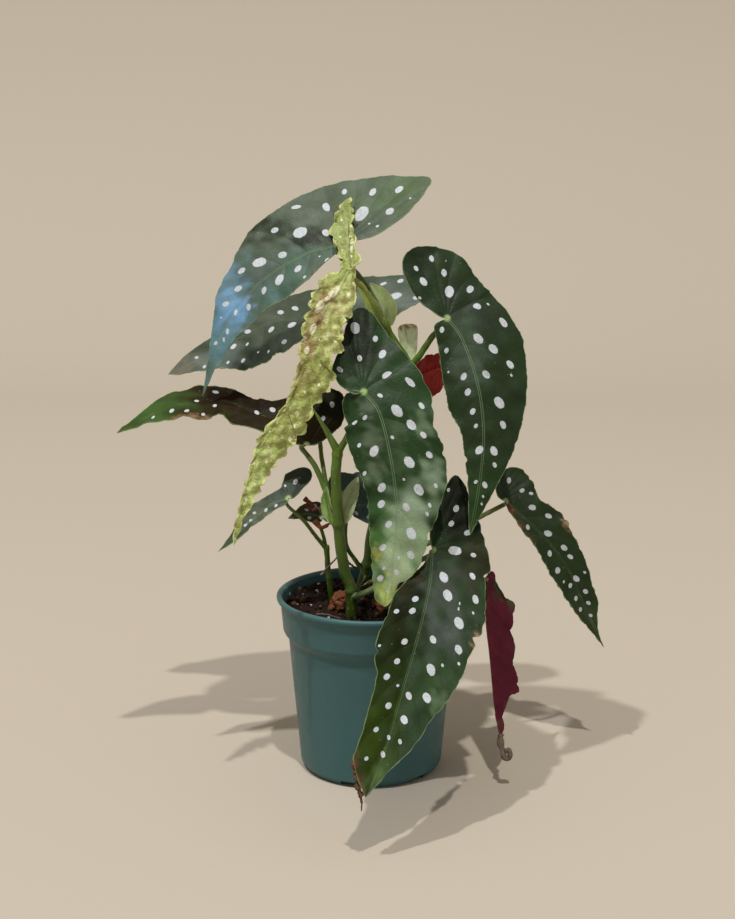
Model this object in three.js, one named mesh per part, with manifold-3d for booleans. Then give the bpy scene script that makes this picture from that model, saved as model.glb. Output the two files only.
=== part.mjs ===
// Potted polka dot begonia: two canes and a small side stem in a round plastic nursery pot.
// Millimetres, +Z up. The origin is the middle of the pot's base, and the front looks towards -Y.
import * as THREE from 'three';
import { mergeVertices } from 'three/addons/utils/BufferGeometryUtils.js';
import Module from 'manifold-3d';

const wasm = await Module();
wasm.setup();

// Driving dimensions.
const POT_HEIGHT = 100;
const LIP_RADIUS = 52.5;
const LIP_HEIGHT = 2.4;
const COLLAR_HEIGHT = 21;
const COLLAR_RADIUS = 50.4;
const BODY_TOP_RADIUS = 46;
const BODY_FOOT_RADIUS = 39.6;
const FOOT_RADIUS = 36.8;
const WALL = 1.3;
const FLOOR_RISE = 3.4;
const CENTRE_BOSS_RADIUS = 14;
const COLLAR_TAPER = 1.4;
const FOOT_NOTCHES = 6;
const FIRST_NOTCH_ANGLE = -108;
const FOOT_NOTCH_WIDTH = 10;
const FOOT_NOTCH_HEIGHT = 3.2;
const FOOT_NOTCH_REACH = 9;
const DRAIN_HOLE_RADIUS = 4.5;
const DRAIN_RING_RADIUS = 24;
const SOIL_BACK_DEPTH = 6;
const SOIL_FRONT_DEPTH = 11;
const GAP = 0.3;
const BLADE_THICKNESS = 0.6;
const PETIOLE_GAP = 0.6;
const STALK_JOIN = 1.5;
const STALK_RUN_IN = 6;
const CANE_FRONT_RADII = [3.3, 2.7];
const CANE_BACK_RADII = [3, 2.2];
const STEM_SMALL_RADII = [1.7, 1.5];
const ROUND_STEPS = 40;
const CANE_SIDES = 10;
const STALK_SIDES = 8;
const STEM_STEP = 8;
const SOIL_RINGS = 5;
const ROW_CROWDING = 1.25;

function vector(point) {
  return new THREE.Vector3(point[0], point[1], point[2]);
}

function material(colour, roughness) {
  return new THREE.MeshStandardMaterial({ color: colour, roughness, metalness: 0 });
}

const POT_GREEN = material(0x3f5a58, 0.42);
const SOIL_BROWN = material(0x3a261a, 0.98);
const CANE_GREEN = material(0x4f7528, 0.5);
const LEAF_GREEN = material(0x2f4a30, 0.4);
const YOUNG_GREEN = material(0xa5af50, 0.5);
const DRY_BROWN = material(0x8c5a38, 0.9);

// A closed geometry as a solid, with its shared vertices merged and collapsed triangles left out.
function solid(geometry) {
  const bare = geometry.clone();
  bare.deleteAttribute('normal');
  bare.deleteAttribute('uv');
  const merged = mergeVertices(bare, 1e-4);
  const index = merged.index.array;
  const triangles = [];
  for (let k = 0; k < index.length; k += 3) {
    const [a, b, c] = [index[k], index[k + 1], index[k + 2]];
    if (a !== b && b !== c && c !== a) triangles.push(a, b, c);
  }
  const mesh = new wasm.Mesh({
    numProp: 3,
    vertProperties: new Float32Array(merged.attributes.position.array),
    triVerts: new Uint32Array(triangles),
  });
  mesh.merge();
  return new wasm.Manifold(mesh);
}

function geometryOf(body) {
  const mesh = body.getMesh();
  const geometry = new THREE.BufferGeometry();
  geometry.setAttribute('position', new THREE.BufferAttribute(mesh.vertProperties, 3));
  geometry.setIndex(new THREE.BufferAttribute(mesh.triVerts, 1));
  geometry.computeVertexNormals();
  return geometry;
}

function closedGeometry(points, triangles) {
  const geometry = new THREE.BufferGeometry();
  geometry.setFromPoints(points);
  geometry.setIndex(triangles);
  return geometry;
}

// A profile of [radius, height] pairs turned round the Z axis.
function turned(profile, steps = ROUND_STEPS) {
  const geometry = new THREE.LatheGeometry(profile.map(([r, z]) => new THREE.Vector2(r, z)), steps);
  return geometry.rotateX(Math.PI / 2);
}

// A round stem along a smooth curve through the points, its radius running evenly from first to last.
function stem(points, [firstRadius, lastRadius], sides = STALK_SIDES) {
  const curve = new THREE.CatmullRomCurve3(points.map(vector), false, 'centripetal');
  const steps = Math.max(3, Math.round(curve.getLength() / STEM_STEP));
  const frames = curve.computeFrenetFrames(steps, false);
  const ring = [];
  for (let i = 0; i <= steps; i++) {
    const centre = curve.getPointAt(i / steps);
    const radius = THREE.MathUtils.lerp(firstRadius, lastRadius, i / steps);
    for (let j = 0; j < sides; j++) {
      const angle = (2 * Math.PI * j) / sides;
      const p = centre.clone();
      p.addScaledVector(frames.normals[i], radius * Math.cos(angle));
      p.addScaledVector(frames.binormals[i], radius * Math.sin(angle));
      ring.push(p);
    }
  }
  const triangles = [];
  for (let i = 0; i < steps; i++) {
    for (let j = 0; j < sides; j++) {
      const a = i * sides + j;
      const b = i * sides + ((j + 1) % sides);
      triangles.push(a, b, b + sides, a, b + sides, a + sides);
    }
  }
  const last = steps * sides;
  for (let j = 1; j < sides - 1; j++) {
    triangles.push(0, j + 1, j);
    triangles.push(last, last + j, last + j + 1);
  }
  return closedGeometry(ring, triangles);
}

// The pot: a thin turned shell with a rolled lip, a wide collar, a raised floor and a ring foot.
function pot() {
  const collarFoot = POT_HEIGHT - COLLAR_HEIGHT;
  const lipFoot = POT_HEIGHT - LIP_HEIGHT;
  const profile = [
    [0, 0],
    [CENTRE_BOSS_RADIUS, 0],
    [CENTRE_BOSS_RADIUS + 1, FLOOR_RISE],
    [FOOT_RADIUS - 3, FLOOR_RISE],
    [FOOT_RADIUS - 2, 0],
    [FOOT_RADIUS, 0],
    [BODY_FOOT_RADIUS, 3.6],
    [BODY_FOOT_RADIUS + 0.1, 5],
    [BODY_TOP_RADIUS, collarFoot - 3],
    [BODY_TOP_RADIUS + 1, collarFoot - 1.4],
    [COLLAR_RADIUS - COLLAR_TAPER - 0.6, collarFoot],
    [COLLAR_RADIUS - COLLAR_TAPER, collarFoot + 1.5],
    [COLLAR_RADIUS, lipFoot - 1],
    [LIP_RADIUS - 0.4, lipFoot - 0.4],
    [LIP_RADIUS, lipFoot + 0.4],
    [LIP_RADIUS, POT_HEIGHT - 0.8],
    [LIP_RADIUS - 0.8, POT_HEIGHT],
    [LIP_RADIUS - 2.2, POT_HEIGHT],
    [COLLAR_RADIUS - WALL, POT_HEIGHT - 1.4],
    [COLLAR_RADIUS - COLLAR_TAPER - WALL, collarFoot + 1.2],
    [BODY_TOP_RADIUS - WALL, collarFoot - 2.2],
    [BODY_FOOT_RADIUS - WALL, 6],
    [BODY_FOOT_RADIUS - WALL - 1.5, FLOOR_RISE + WALL],
    [0, FLOOR_RISE + WALL],
  ];
  let body = solid(turned(profile));
  for (let k = 0; k < FOOT_NOTCHES; k++) {
    const angle = THREE.MathUtils.degToRad(FIRST_NOTCH_ANGLE + (360 / FOOT_NOTCHES) * k);
    const notch = new THREE.BoxGeometry(FOOT_NOTCH_REACH, FOOT_NOTCH_WIDTH, 2 * FOOT_NOTCH_HEIGHT);
    notch.translate(FOOT_RADIUS, 0, 0);
    notch.rotateZ(angle);
    body = body.subtract(solid(notch));
    const hole = new THREE.CylinderGeometry(DRAIN_HOLE_RADIUS, DRAIN_HOLE_RADIUS, 4 * FLOOR_RISE, 12);
    hole.rotateX(Math.PI / 2);
    hole.translate(DRAIN_RING_RADIUS, 0, FLOOR_RISE);
    hole.rotateZ(angle + Math.PI / FOOT_NOTCHES);
    body = body.subtract(solid(hole));
  }
  return body;
}

// Height of the soil's uneven top: higher at the back, with low mounds.
function soilTop(x, y) {
  const back = THREE.MathUtils.smoothstep(y, -35, 40);
  const depth = THREE.MathUtils.lerp(SOIL_FRONT_DEPTH, SOIL_BACK_DEPTH, back);
  const mounds = 0.9 * Math.sin(x * 0.31 + 1.2) * Math.cos(y * 0.27) + 0.5 * Math.sin(x * 0.71 + y * 0.53);
  return POT_HEIGHT - depth + mounds;
}

// The soil fills the pot to its wall, 0.3 mm clear all round.
function soilGeometry() {
  const collarFoot = POT_HEIGHT - COLLAR_HEIGHT;
  const topRadius = COLLAR_RADIUS - WALL - 1;
  const profile = [
    [0, FLOOR_RISE + WALL + GAP],
    [BODY_FOOT_RADIUS - WALL - 2, FLOOR_RISE + WALL + GAP],
    [BODY_FOOT_RADIUS - WALL - GAP, 7],
    [BODY_TOP_RADIUS - WALL - GAP, collarFoot - 2.1],
    [COLLAR_RADIUS - COLLAR_TAPER - WALL - GAP, collarFoot + 1.9],
  ];
  for (let k = 0; k <= SOIL_RINGS; k++) {
    profile.push([topRadius * (1 - k / SOIL_RINGS), POT_HEIGHT]);
  }
  const geometry = turned(profile);
  const position = geometry.attributes.position;
  for (let k = 0; k < position.count; k++) {
    if (position.getZ(k) > POT_HEIGHT - 0.5) {
      const x = position.getX(k);
      const y = position.getY(k);
      position.setZ(k, soilTop(x, y));
    }
  }
  return geometry;
}

// A leaf is measured flat: s runs along the midrib from the sinus, where the stalk joins, and t runs
// across it, positive on the big half, whose lobe reaches back past the sinus. The midrib is a curve
// in space, the upper side looks along faceBase at the sinus and faceTip at the tip, and each half
// is folded up from the midrib by its own angle.
function leafFrame(leaf) {
  const midrib = new THREE.CatmullRomCurve3(leaf.midrib.map(vector), false, 'catmullrom', 0.5);
  const length = midrib.getLength();
  const faceBase = vector(leaf.faceBase).normalize();
  const faceTip = vector(leaf.faceTip).normalize();

  function frame(s) {
    const along = THREE.MathUtils.clamp(s / length, 0, 1);
    const tangent = midrib.getTangentAt(along);
    const origin = midrib.getPointAt(along);
    if (s < 0) origin.addScaledVector(tangent, s);
    const face = faceBase.clone().lerp(faceTip, along);
    const normal = face.addScaledVector(tangent, -face.dot(tangent)).normalize();
    const across = normal.clone().cross(tangent).multiplyScalar(leaf.hand);
    return { along, origin, tangent, normal, across };
  }

  // half is 1 on the big half and -1 on the small one
  function place(s, t, half, lift = 0) {
    const { along, origin, normal, across } = frame(s);
    const side = half > 0 ? 0 : 1;
    const fold = THREE.MathUtils.lerp(leaf.foldBase[side], leaf.foldTip[side], along);
    const angle = THREE.MathUtils.degToRad(fold);
    const rise = half * t * Math.sin(angle) - (leaf.droop * t * t) / 60 + lift;
    return origin.addScaledVector(across, t * Math.cos(angle)).addScaledVector(normal, rise);
  }
  return { length, frame, place };
}

// The point under the sinus where a stalk ends square to the blade, and the way it comes in.
function stalkEnd(leaf) {
  const { frame } = leafFrame(leaf);
  const { origin, normal } = frame(STALK_JOIN);
  const end = origin.addScaledVector(normal, -BLADE_THICKNESS / 2 - PETIOLE_GAP);
  const before = end.clone().addScaledVector(normal, -STALK_RUN_IN);
  return [before.toArray(), end.toArray()];
}

// The blade: a fan of ribs from the sinus round the lobe, then rows of ribs from the midrib to both
// edges, 0.6 mm thick and split into triangles alike on both faces.
function blade(leaf) {
  const { length, place } = leafFrame(leaf);
  const tip = [length, 0];
  const runs = {
    big: new THREE.SplineCurve([[0, 0], ...leaf.big, tip].map(([s, t]) => new THREE.Vector2(s, t))),
    small: new THREE.SplineCurve([[0, 0], ...leaf.small, tip].map(([s, t]) => new THREE.Vector2(s, t))),
  };
  const samples = 200;
  let shoulder = 0;
  for (let k = 1; k < samples; k++) {
    if (runs.big.getPointAt(k / samples).x < 0.03 * length) shoulder = k / samples;
  }
  const { fanRibs, rows, columns } = leaf;
  const points = [];
  const add = (p) => points.push(p) - 1;

  // a point of the rib that runs from the midrib at base to the edge, at share v of the way
  function ribPoint(base, run, u, half, v) {
    const edge = run.getPointAt(u);
    const ripple = Math.sin(2 * Math.PI * u * leaf.waves + half) * Math.sqrt(Math.sin(Math.PI * u));
    const s = THREE.MathUtils.lerp(base, edge.x, v);
    const t = edge.y * v;
    return place(s, t, half, leaf.waveHeight * ripple * v * v);
  }
  const midribIds = [];
  for (let i = 0; i <= rows; i++) {
    midribIds.push(add(place(length * (i / rows) ** ROW_CROWDING, 0, 1)));
  }
  // each half is a list of ribs, and a rib is a list of point numbers from the midrib to the edge
  function ribs(half) {
    const run = half > 0 ? runs.big : runs.small;
    const start = half > 0 ? shoulder : 0;
    const list = [];
    const fan = half > 0 ? fanRibs : 0;
    for (let k = 1; k <= fan; k++) {
      const rib = [midribIds[0]];
      const u = (shoulder * k) / fan;
      for (let j = 1; j <= columns; j++) {
        // the first rib of the fan is the edge itself, from the sinus on
        const onEdge = k === 1;
        rib.push(add(ribPoint(0, run, onEdge ? (u * j) / columns : u, half, onEdge ? 1 : j / columns)));
      }
      list.push(rib);
    }
    for (let i = 1; i < rows; i++) {
      const rib = [midribIds[i]];
      const u = THREE.MathUtils.lerp(start, 1, i / rows);
      for (let j = 1; j <= columns; j++) {
        rib.push(add(ribPoint(length * (i / rows) ** ROW_CROWDING, run, u, half, j / columns)));
      }
      list.push(rib);
    }
    return list;
  }
  const halves = [1, -1].map((half) => ({ half, list: ribs(half) }));
  const sheet = [];
  const rim = [];
  const sinusId = midribIds[0];
  const tipId = midribIds[rows];
  for (const { half, list } of halves) {
    const face = (a, b, c) => {
      if (a === b || b === c || c === a) return;
      if (half * leaf.hand > 0) sheet.push(a, b, c);
      else sheet.push(a, c, b);
    };
    const sinusRib = Array(columns + 1).fill(sinusId);
    const tipRib = Array(columns + 1).fill(tipId);
    const all = half > 0 ? [...list, tipRib] : [sinusRib, ...list, tipRib];
    for (let i = 0; i + 1 < all.length; i++) {
      for (let j = 0; j < columns; j++) {
        const [a, b, c, d] = [all[i][j], all[i + 1][j], all[i + 1][j + 1], all[i][j + 1]];
        face(a, b, c);
        face(a, c, d);
      }
    }
    const edge = [...(half > 0 ? list[0].slice(0, columns) : []), ...all.map((rib) => rib[columns])];
    for (let i = 0; i + 1 < edge.length; i++) {
      rim.push(half * leaf.hand > 0 ? [edge[i], edge[i + 1]] : [edge[i + 1], edge[i]]);
    }
  }
  // lift the sheet to both faces along its own normals, and close the rim between them
  const middle = closedGeometry(points, sheet);
  middle.computeVertexNormals();
  const normals = middle.attributes.normal;
  const count = points.length;
  const both = [];
  for (const side of [1, -1]) {
    for (let k = 0; k < count; k++) {
      const normal = new THREE.Vector3().fromBufferAttribute(normals, k);
      both.push(points[k].clone().addScaledVector(normal, (side * BLADE_THICKNESS) / 2));
    }
  }
  const triangles = [...sheet];
  for (let k = 0; k < sheet.length; k += 3) {
    triangles.push(sheet[k] + count, sheet[k + 2] + count, sheet[k + 1] + count);
  }
  for (const [a, b] of rim) {
    triangles.push(a, b, b + count, a, b + count, a + count);
  }
  return closedGeometry(both, triangles);
}

const DETAIL = { fanRibs: 10, rows: 16, columns: 3 };
const SMALL_DETAIL = { fanRibs: 6, rows: 9, columns: 2 };

// A plain begonia blade outline, for a midrib 119 mm long.
const PLAIN_LENGTH = 119;
const PLAIN_BIG = [[-3, -3], [-14, -7], [-27, -7], [-38, -2], [-40, 8], [-33, 21], [-20, 29], [0, 29],
  [22, 32], [42, 29], [60, 23], [78, 16], [98, 8]];
const PLAIN_SMALL = [[-1, -7], [5, -12], [15, -15], [32, -17], [50, -17], [66, -13], [85, -8], [104, -4]];

function plainOutline(length, widthScale) {
  const scale = length / PLAIN_LENGTH;
  const resize = (outline) => outline.map(([s, t]) => [s * scale, t * scale * widthScale]);
  return { big: resize(PLAIN_BIG), small: resize(PLAIN_SMALL) };
}

// Outlines are [s, t] in mm. waves counts the ripples along one edge.
const leaves = {
  leaf_top: {
    midrib: [[-18, -8, 293], [-37, -6, 287], [-61, -4, 271], [-80, -4, 245], [-91, -2, 211]],
    faceBase: [0, -0.62, 0.78], faceTip: [-0.45, -0.75, 0.5],
    hand: -1, foldBase: [10, -4], foldTip: [6, 2], droop: 0.1, waves: 5, waveHeight: 0.6, ...DETAIL,
    big: [[-11, -1], [-21, -1], [-39, 6], [-51, 16], [-56, 24], [-48, 30], [-27, 37], [-7, 41], [5, 43],
      [19, 36], [38, 31], [50, 22], [64, 16], [74, 10], [89, 4], [105, 2]],
    small: [[2, -6], [11, -12], [23, -17], [40, -18], [58, -15], [79, -10], [97, -5], [107, -2]],
  },
  leaf_upper_back: {
    midrib: [[-23, 55, 247], [-40, 57, 245], [-58, 59, 242], [-78, 59, 232], [-97, 57, 222], [-116, 55, 213]],
    faceBase: [0, -0.62, 0.8], faceTip: [-0.1, -0.62, 0.8],
    hand: -1, foldBase: [2, 2], foldTip: [2, 2], droop: 0.15, waves: 6, waveHeight: 0.8, ...DETAIL,
    big: [[-9, -7], [-22, -7], [-37, -6], [-49, 3], [-55, 9], [-52, 19], [-41, 27], [-18, 29], [10, 23],
      [36, 16], [50, 14], [70, 10], [84, 9], [94, 4]],
    small: [[4, -11], [16, -19], [31, -25], [46, -25], [57, -25], [67, -18], [80, -10], [93, -5]],
  },
  leaf_left: {
    midrib: [[-35, -6, 185], [-47, -4, 196], [-63, 0, 202], [-85, 3, 208], [-109, -4, 205],
      [-136, -15, 194]],
    faceBase: [0.15, -0.75, 0.65], faceTip: [-0.1, -0.25, 1],
    hand: -1, foldBase: [4, 4], foldTip: [0, 0], droop: 0.05, waves: 5, waveHeight: 0.8, ...DETAIL,
    big: [[-4, 5], [-6, 16], [-6, 24], [-1, 33], [8, 37], [15, 30], [24, 14], [36, 9], [50, 9], [61, 12],
      [73, 12], [86, 10], [97, 6], [107, 3]],
    small: [[4, -4], [10, -8], [26, -11], [41, -13], [51, -11], [65, -16], [81, -12], [95, -7], [107, -4]],
  },
  leaf_young: {
    midrib: [[-11, -22, 282], [-17, -30, 271], [-29, -40, 253], [-35, -47, 231], [-44, -52, 212],
      [-58, -56, 191], [-66, -59, 167], [-71, -60, 144]],
    faceBase: [0.1, -1, 0.35], faceTip: [0, -1, 0.3],
    hand: -1, foldBase: [-10, -10], foldTip: [-10, -10], droop: 0.5, waves: 9, waveHeight: 0.7,
    fanRibs: 12, rows: 22, columns: 3,
    big: [[-7, -3], [-13, 3], [-19, 5], [-24, 9], [-34, 13], [-39, 17], [-37, 20], [-25, 20], [-16, 18],
      [-9, 12], [-2, 6], [4, 5], [8, 10], [22, 11], [35, 7], [57, 4], [80, 2], [100, 4], [118, 1],
      [141, 1], [151, 1.5]],
    small: [[-3, -2], [5, -5], [19, -12], [25, -11], [43, -17], [52, -12], [60, -16], [75, -12],
      [86, -13], [107, -11], [127, -7], [144, -3], [154, -1]],
  },
  leaf_centre: {
    midrib: [[-4, -36, 220], [4, -41, 210], [10, -48, 187], [13, -53, 161], [11, -55, 135], [7, -54, 109]],
    faceBase: [-0.05, -1, 0.3], faceTip: [-0.1, -1, 0.25],
    hand: 1, foldBase: [-10, -12], foldTip: [-8, -6], droop: 0.15, waves: 7, waveHeight: 0.7, ...DETAIL,
    big: [[-2, -5], [-11, -8], [-20, -6], [-25, 2], [-35, 14], [-40, 24], [-34, 29], [-19, 29],
      [-5, 30], [12, 29], [27, 26], [38, 28], [54, 27], [63, 23], [77, 18], [90, 15], [98, 12],
      [105, 5], [114, 3]],
    small: [[-4, -5], [-5, -9], [0, -15], [10, -19], [22, -21], [35, -20], [52, -16], [70, -15], [85, -13],
      [100, -10], [114, -6]],
  },
  leaf_right: {
    midrib: [[40, -12, 255], [48, -15, 244], [56, -22, 221], [59, -28, 197], [57, -34, 172], [52, -40, 144]],
    faceBase: [0.1, -1, 0.35], faceTip: [0.05, -1, 0.25],
    hand: 1, foldBase: [-12, -10], foldTip: [-12, -8], droop: 0.2, waves: 6, waveHeight: 0.5, ...DETAIL,
    big: [[-3, -3], [-14, -7], [-27, -7], [-38, -2], [-41, 8], [-35, 19], [-24, 28], [-8, 29], [11, 31],
      [23, 33], [46, 27], [63, 21], [76, 16], [96, 8], [113, 2]],
    small: [[-1, -7], [4, -11], [15, -14], [32, -17], [50, -17], [64, -12], [76, -10], [93, -6], [113, -2]],
  },
  leaf_lower_front: {
    midrib: [[32, -43, 137], [30, -56, 120], [23, -76, 98], [15, -95, 77], [7, -113, 56], [-3, -128, 35]],
    faceBase: [0.2, -1, 0.8], faceTip: [0.2, -0.8, 0.8],
    hand: 1, foldBase: [2, -8], foldTip: [4, 34], droop: 0.15, waves: 6, waveHeight: 0.7, ...DETAIL,
    big: [[-8, -2], [-20, -2], [-34, 3], [-44, 9], [-37, 16], [-11, 27], [-5, 29], [6, 32], [13, 29],
      [24, 31], [35, 32], [49, 29], [65, 27], [82, 22], [91, 18], [105, 14], [119, 7], [130, 3]],
    small: [[8, -4], [18, -11], [30, -17], [42, -18], [55, -20], [69, -19], [81, -15], [100, -15],
      [115, -15], [124, -15], [132, -8]],
  },
  leaf_far_right: {
    midrib: [[76, 28, 145], [85, 27, 137], [98, 25, 125], [111, 23, 108], [121, 21, 86], [133, 20, 61]],
    faceBase: [0.25, -1, 0.6], faceTip: [0.2, -1, 0.5],
    hand: 1, foldBase: [0, 0], foldTip: [0, 0], droop: 0.1, waves: 6, waveHeight: 0.6, ...DETAIL,
    big: [[-5, -1], [-9, 2], [-12, 10], [-10, 18], [-3, 22], [6, 20], [15, 15], [28, 18], [37, 15],
      [49, 13], [64, 10], [78, 9], [86, 4], [95, 1]],
    small: [[4, -3], [10, -4], [19, -7], [29, -8], [49, -11], [70, -8], [84, -5], [95, -2]],
  },
  leaf_hanging: {
    midrib: [[64, 3, 108], [64, -3, 86], [66, -13, 65], [68, -26, 41], [72, -37, 18]],
    faceBase: [0.35, 0.93, 0.1], faceTip: [0.35, 0.93, 0],
    hand: -1, foldBase: [66, 75], foldTip: [60, 72], droop: 0, waves: 5, waveHeight: 0.8, ...DETAIL,
    big: [[-3, 4], [8, 13], [17, 22], [26, 21], [33, 17], [45, 17], [58, 19], [67, 12], [79, 4], [92, 1]],
    small: [[2, -6], [12, -13], [28, -16], [48, -15], [66, -11], [81, -4], [94, -1]],
  },
  leaf_small_left: {
    midrib: [[-45, -8, 156], [-54, -10, 153], [-66, -12, 144], [-74, -14, 136], [-83, -16, 128]],
    faceBase: [0, -0.75, 0.8], faceTip: [-0.1, -0.8, 0.7],
    hand: -1, foldBase: [0, 0], foldTip: [0, 0], droop: 0.1, waves: 4, waveHeight: 0.3, ...SMALL_DETAIL,
    big: [[-3, -1], [-10, 3], [-16, 7], [-17, 13], [-12, 16], [-4, 15], [1, 9], [6, 6], [20, 7], [29, 5],
      [40, 2]],
    small: [[2, -3], [8, -4], [18, -4], [31, -3], [41, -1.5]],
  },
  leaf_small_low: {
    midrib: [[-27, 4, 142], [-36, 3, 144], [-46, 2, 142]],
    faceBase: [0, -0.8, 0.6], faceTip: [0, -0.8, 0.6],
    hand: -1, foldBase: [5, 5], foldTip: [5, 5], droop: 0, waves: 3, waveHeight: 0.2, ...SMALL_DETAIL,
    ...plainOutline(20, 1.5),
  },
  leaf_middle_back: {
    midrib: [[-11, 20, 145], [0, 24, 143], [19, 28, 138], [35, 30, 131]],
    faceBase: [0, -0.85, 0.5], faceTip: [0, -0.85, 0.5],
    hand: 1, foldBase: [4, 4], foldTip: [4, 4], droop: 0.1, waves: 4, waveHeight: 0.4, ...SMALL_DETAIL,
    ...plainOutline(50, 1.5),
  },
  leaf_back_right: {
    midrib: [[22, 14, 218], [34, 20, 222], [46, 26, 225], [60, 33, 227]],
    faceBase: [-0.1, 0.9, 0.35], faceTip: [-0.1, 0.9, 0.35],
    hand: 1, foldBase: [4, 4], foldTip: [4, 4], droop: 0.2, waves: 4, waveHeight: 0.6, ...SMALL_DETAIL,
    ...plainOutline(43.5, 1.5),
  },
};

// Half outlines of a scale, in shares of its length and of its width.
const POINTED_EDGE = [[0.05, 0.35], [0.3, 0.5], [0.65, 0.42], [0.9, 0.18]];
const BLUNT_EDGE = [[0.05, 0.25], [0.35, 0.38], [0.75, 0.5], [0.96, 0.46]];

// A narrow pointed or blunt scale grown from a stem, such as a stipule or a leaf bud's sheath.
function scale(midrib, face, width, fold, edge = POINTED_EDGE) {
  const length = new THREE.CatmullRomCurve3(midrib.map(vector)).getLength();
  return blade({
    midrib, faceBase: face, faceTip: face, hand: 1, foldBase: [fold, fold], foldTip: [fold, fold],
    droop: 0, waves: 1, waveHeight: 0, fanRibs: 1, rows: 6, columns: 2,
    big: edge.map(([s, t]) => [s * length, t * width]),
    small: edge.map(([s, t]) => [s * length, -t * width]),
  });
}

function joined(geometries) {
  return geometries.map(solid).reduce((sum, piece) => sum.add(piece));
}

const CANE_FRONT_PATH = [[-11, -14, 76], [-11, -14, 90], [-11, -15, 106], [-14, -15, 115],
  [-16, -16, 126], [-18, -17, 147], [-19, -18, 170], [-18, -18, 186]];
const CANE_BACK_PATH = [[-7, 12, 76], [-7, 12, 92], [-5, 13, 102], [-2, 13, 114], [0, 12, 130],
  [5, 9, 151], [11, 5, 180], [17, 2, 208], [20, 0, 227], [12, -2, 241], [6, -4, 251]];
const STEM_SMALL_PATH = [[-22, 8, 78], [-22, 8, 92], [-23, 8, 100], [-24, 8, 110], [-25, 7, 125]];

// The front cane carries the left, upper back, centre and lower front leaves.
function caneFront() {
  return joined([
    stem(CANE_FRONT_PATH, CANE_FRONT_RADII, CANE_SIDES),
    stem([[-18, -18, 184], [-23, -19, 194], [-31, -20, 208]], [2.4, 0.5]),
    stem([[-20, -17, 144], [-24, -12, 159], [-31, -5, 174], ...stalkEnd(leaves.leaf_left)], [1.7, 1.2]),
    stem([[-19, -16, 144], [-23, -9, 157], [-26, -1, 170], [-28, 9, 182], [-29, 32, 209],
      [-26, 48, 233], ...stalkEnd(leaves.leaf_upper_back)], [1.2, 1]),
    stem([[-18, -18, 184], [-14, -18, 190], [-8, -21, 204], ...stalkEnd(leaves.leaf_centre)], [1.7, 1.2]),
    stem([[-11, -15, 103], [-6, -20, 105], [2, -27, 111], [18, -34, 125],
      ...stalkEnd(leaves.leaf_lower_front)], [1.7, 1.3]),
    scale([[-19, -15, 144], [-23, -13, 153], [-24, -13, 164]], [-0.6, -0.8, 0], 9, 30),
    scale([[-17, -16, 144], [-13, -12, 156], [-7, -8, 168]], [0.2, -0.9, 0.1], 11, 25),
  ]);
}

// The back cane carries the top, young, right, far right, hanging and back right leaves.
function caneBack() {
  return joined([
    stem(CANE_BACK_PATH, CANE_BACK_RADII, CANE_SIDES),
    stem([[19, 0, 225], [25, -1, 232], [33, -2, 244], ...stalkEnd(leaves.leaf_right)], [1.8, 1.3]),
    stem([[8, -4, 249], [2, -7, 256], [-5, -12, 272], ...stalkEnd(leaves.leaf_young)], [1.7, 1.3]),
    stem([[8, -4, 249], [3, 1, 259], [-5, 4, 273], ...stalkEnd(leaves.leaf_top)], [1.7, 1.3]),
    stem([[-2, 13, 112], [16, 14, 118], [38, 18, 126], [59, 23, 136], ...stalkEnd(leaves.leaf_far_right)],
      [1.5, 1.2]),
    stem([[-5, 13, 101], [16, 12, 106], [44, 5, 110], [57, -2, 110], ...stalkEnd(leaves.leaf_hanging)],
      [1.5, 1.2]),
    stem([[19, 0, 225], [22, 3, 220], ...stalkEnd(leaves.leaf_back_right)], [1.5, 1.2]),
    stem([[-3, 13, 106], [-9, 16, 114], [-14, 19, 122], [-14, 24, 136],
      ...stalkEnd(leaves.leaf_middle_back)], [1.2, 1]),
    scale([[20, 0, 226], [20, 2, 238], [19, 2, 250]], [0.1, -1, 0], 11, 20, BLUNT_EDGE),
    scale([[7, -5, 249], [-2, -11, 265], [-9, -14, 276]], [0, -0.8, 0.3], 7, 25),
    scale([[8, -3, 249], [8, -4, 261], [-1, -5, 273]], [0.6, -0.8, 0.1], 10, 25),
  ]);
}

// The small side stem carries the two small leaves on the left.
function stemSmall() {
  return joined([
    stem(STEM_SMALL_PATH, STEM_SMALL_RADII),
    stem([[-25, 7, 123], [-31, 3, 132], [-37, -3, 142], ...stalkEnd(leaves.leaf_small_left)], [1.1, 0.8]),
    stem([[-25, 7, 123], [-27, 7, 132], ...stalkEnd(leaves.leaf_small_low)], [1, 0.8]),
  ]);
}

// Each stem stands in a plain hole in the soil, a little wider and deeper than the stem.
function soilHole(path, radius) {
  const [bottom, top, next] = path;
  const deeper = [bottom[0], bottom[1], bottom[2] - GAP];
  const holeRadius = radius + GAP + 0.1;
  return solid(stem([deeper, top, next], [holeRadius, holeRadius], CANE_SIDES));
}

// Withered stipules at the foot of the front cane, curled and resting on the soil. They are cut
// back to stay clear of the cane and the soil.
function driedScales(pieces) {
  const lifted = soilGeometry().translate(0, 0, GAP);
  const cane = stem(CANE_FRONT_PATH, CANE_FRONT_RADII.map((radius) => radius + GAP), CANE_SIDES);
  return joined(pieces).subtract(solid(cane)).subtract(solid(lifted));
}

function driedScalesLeft() {
  return driedScales([
    scale([[-14, -13, 102], [-19, -9, 99], [-24, -4, 90]], [-0.3, -0.9, 0.4], 9, -30),
    scale([[-15, -12, 98], [-20, -7, 97], [-21, 2, 90]], [-0.7, -0.5, 0.4], 9, -25),
  ]);
}

function driedScalesRight() {
  return driedScales([
    scale([[2, -3, 89], [6, -1, 96], [10, 1, 90]], [0, -0.8, 0.6], 9, -30),
    scale([[8, -6, 89], [6, 0, 95], [3, 6, 89]], [0.7, -0.2, 0.6], 8, -25),
  ]);
}

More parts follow.
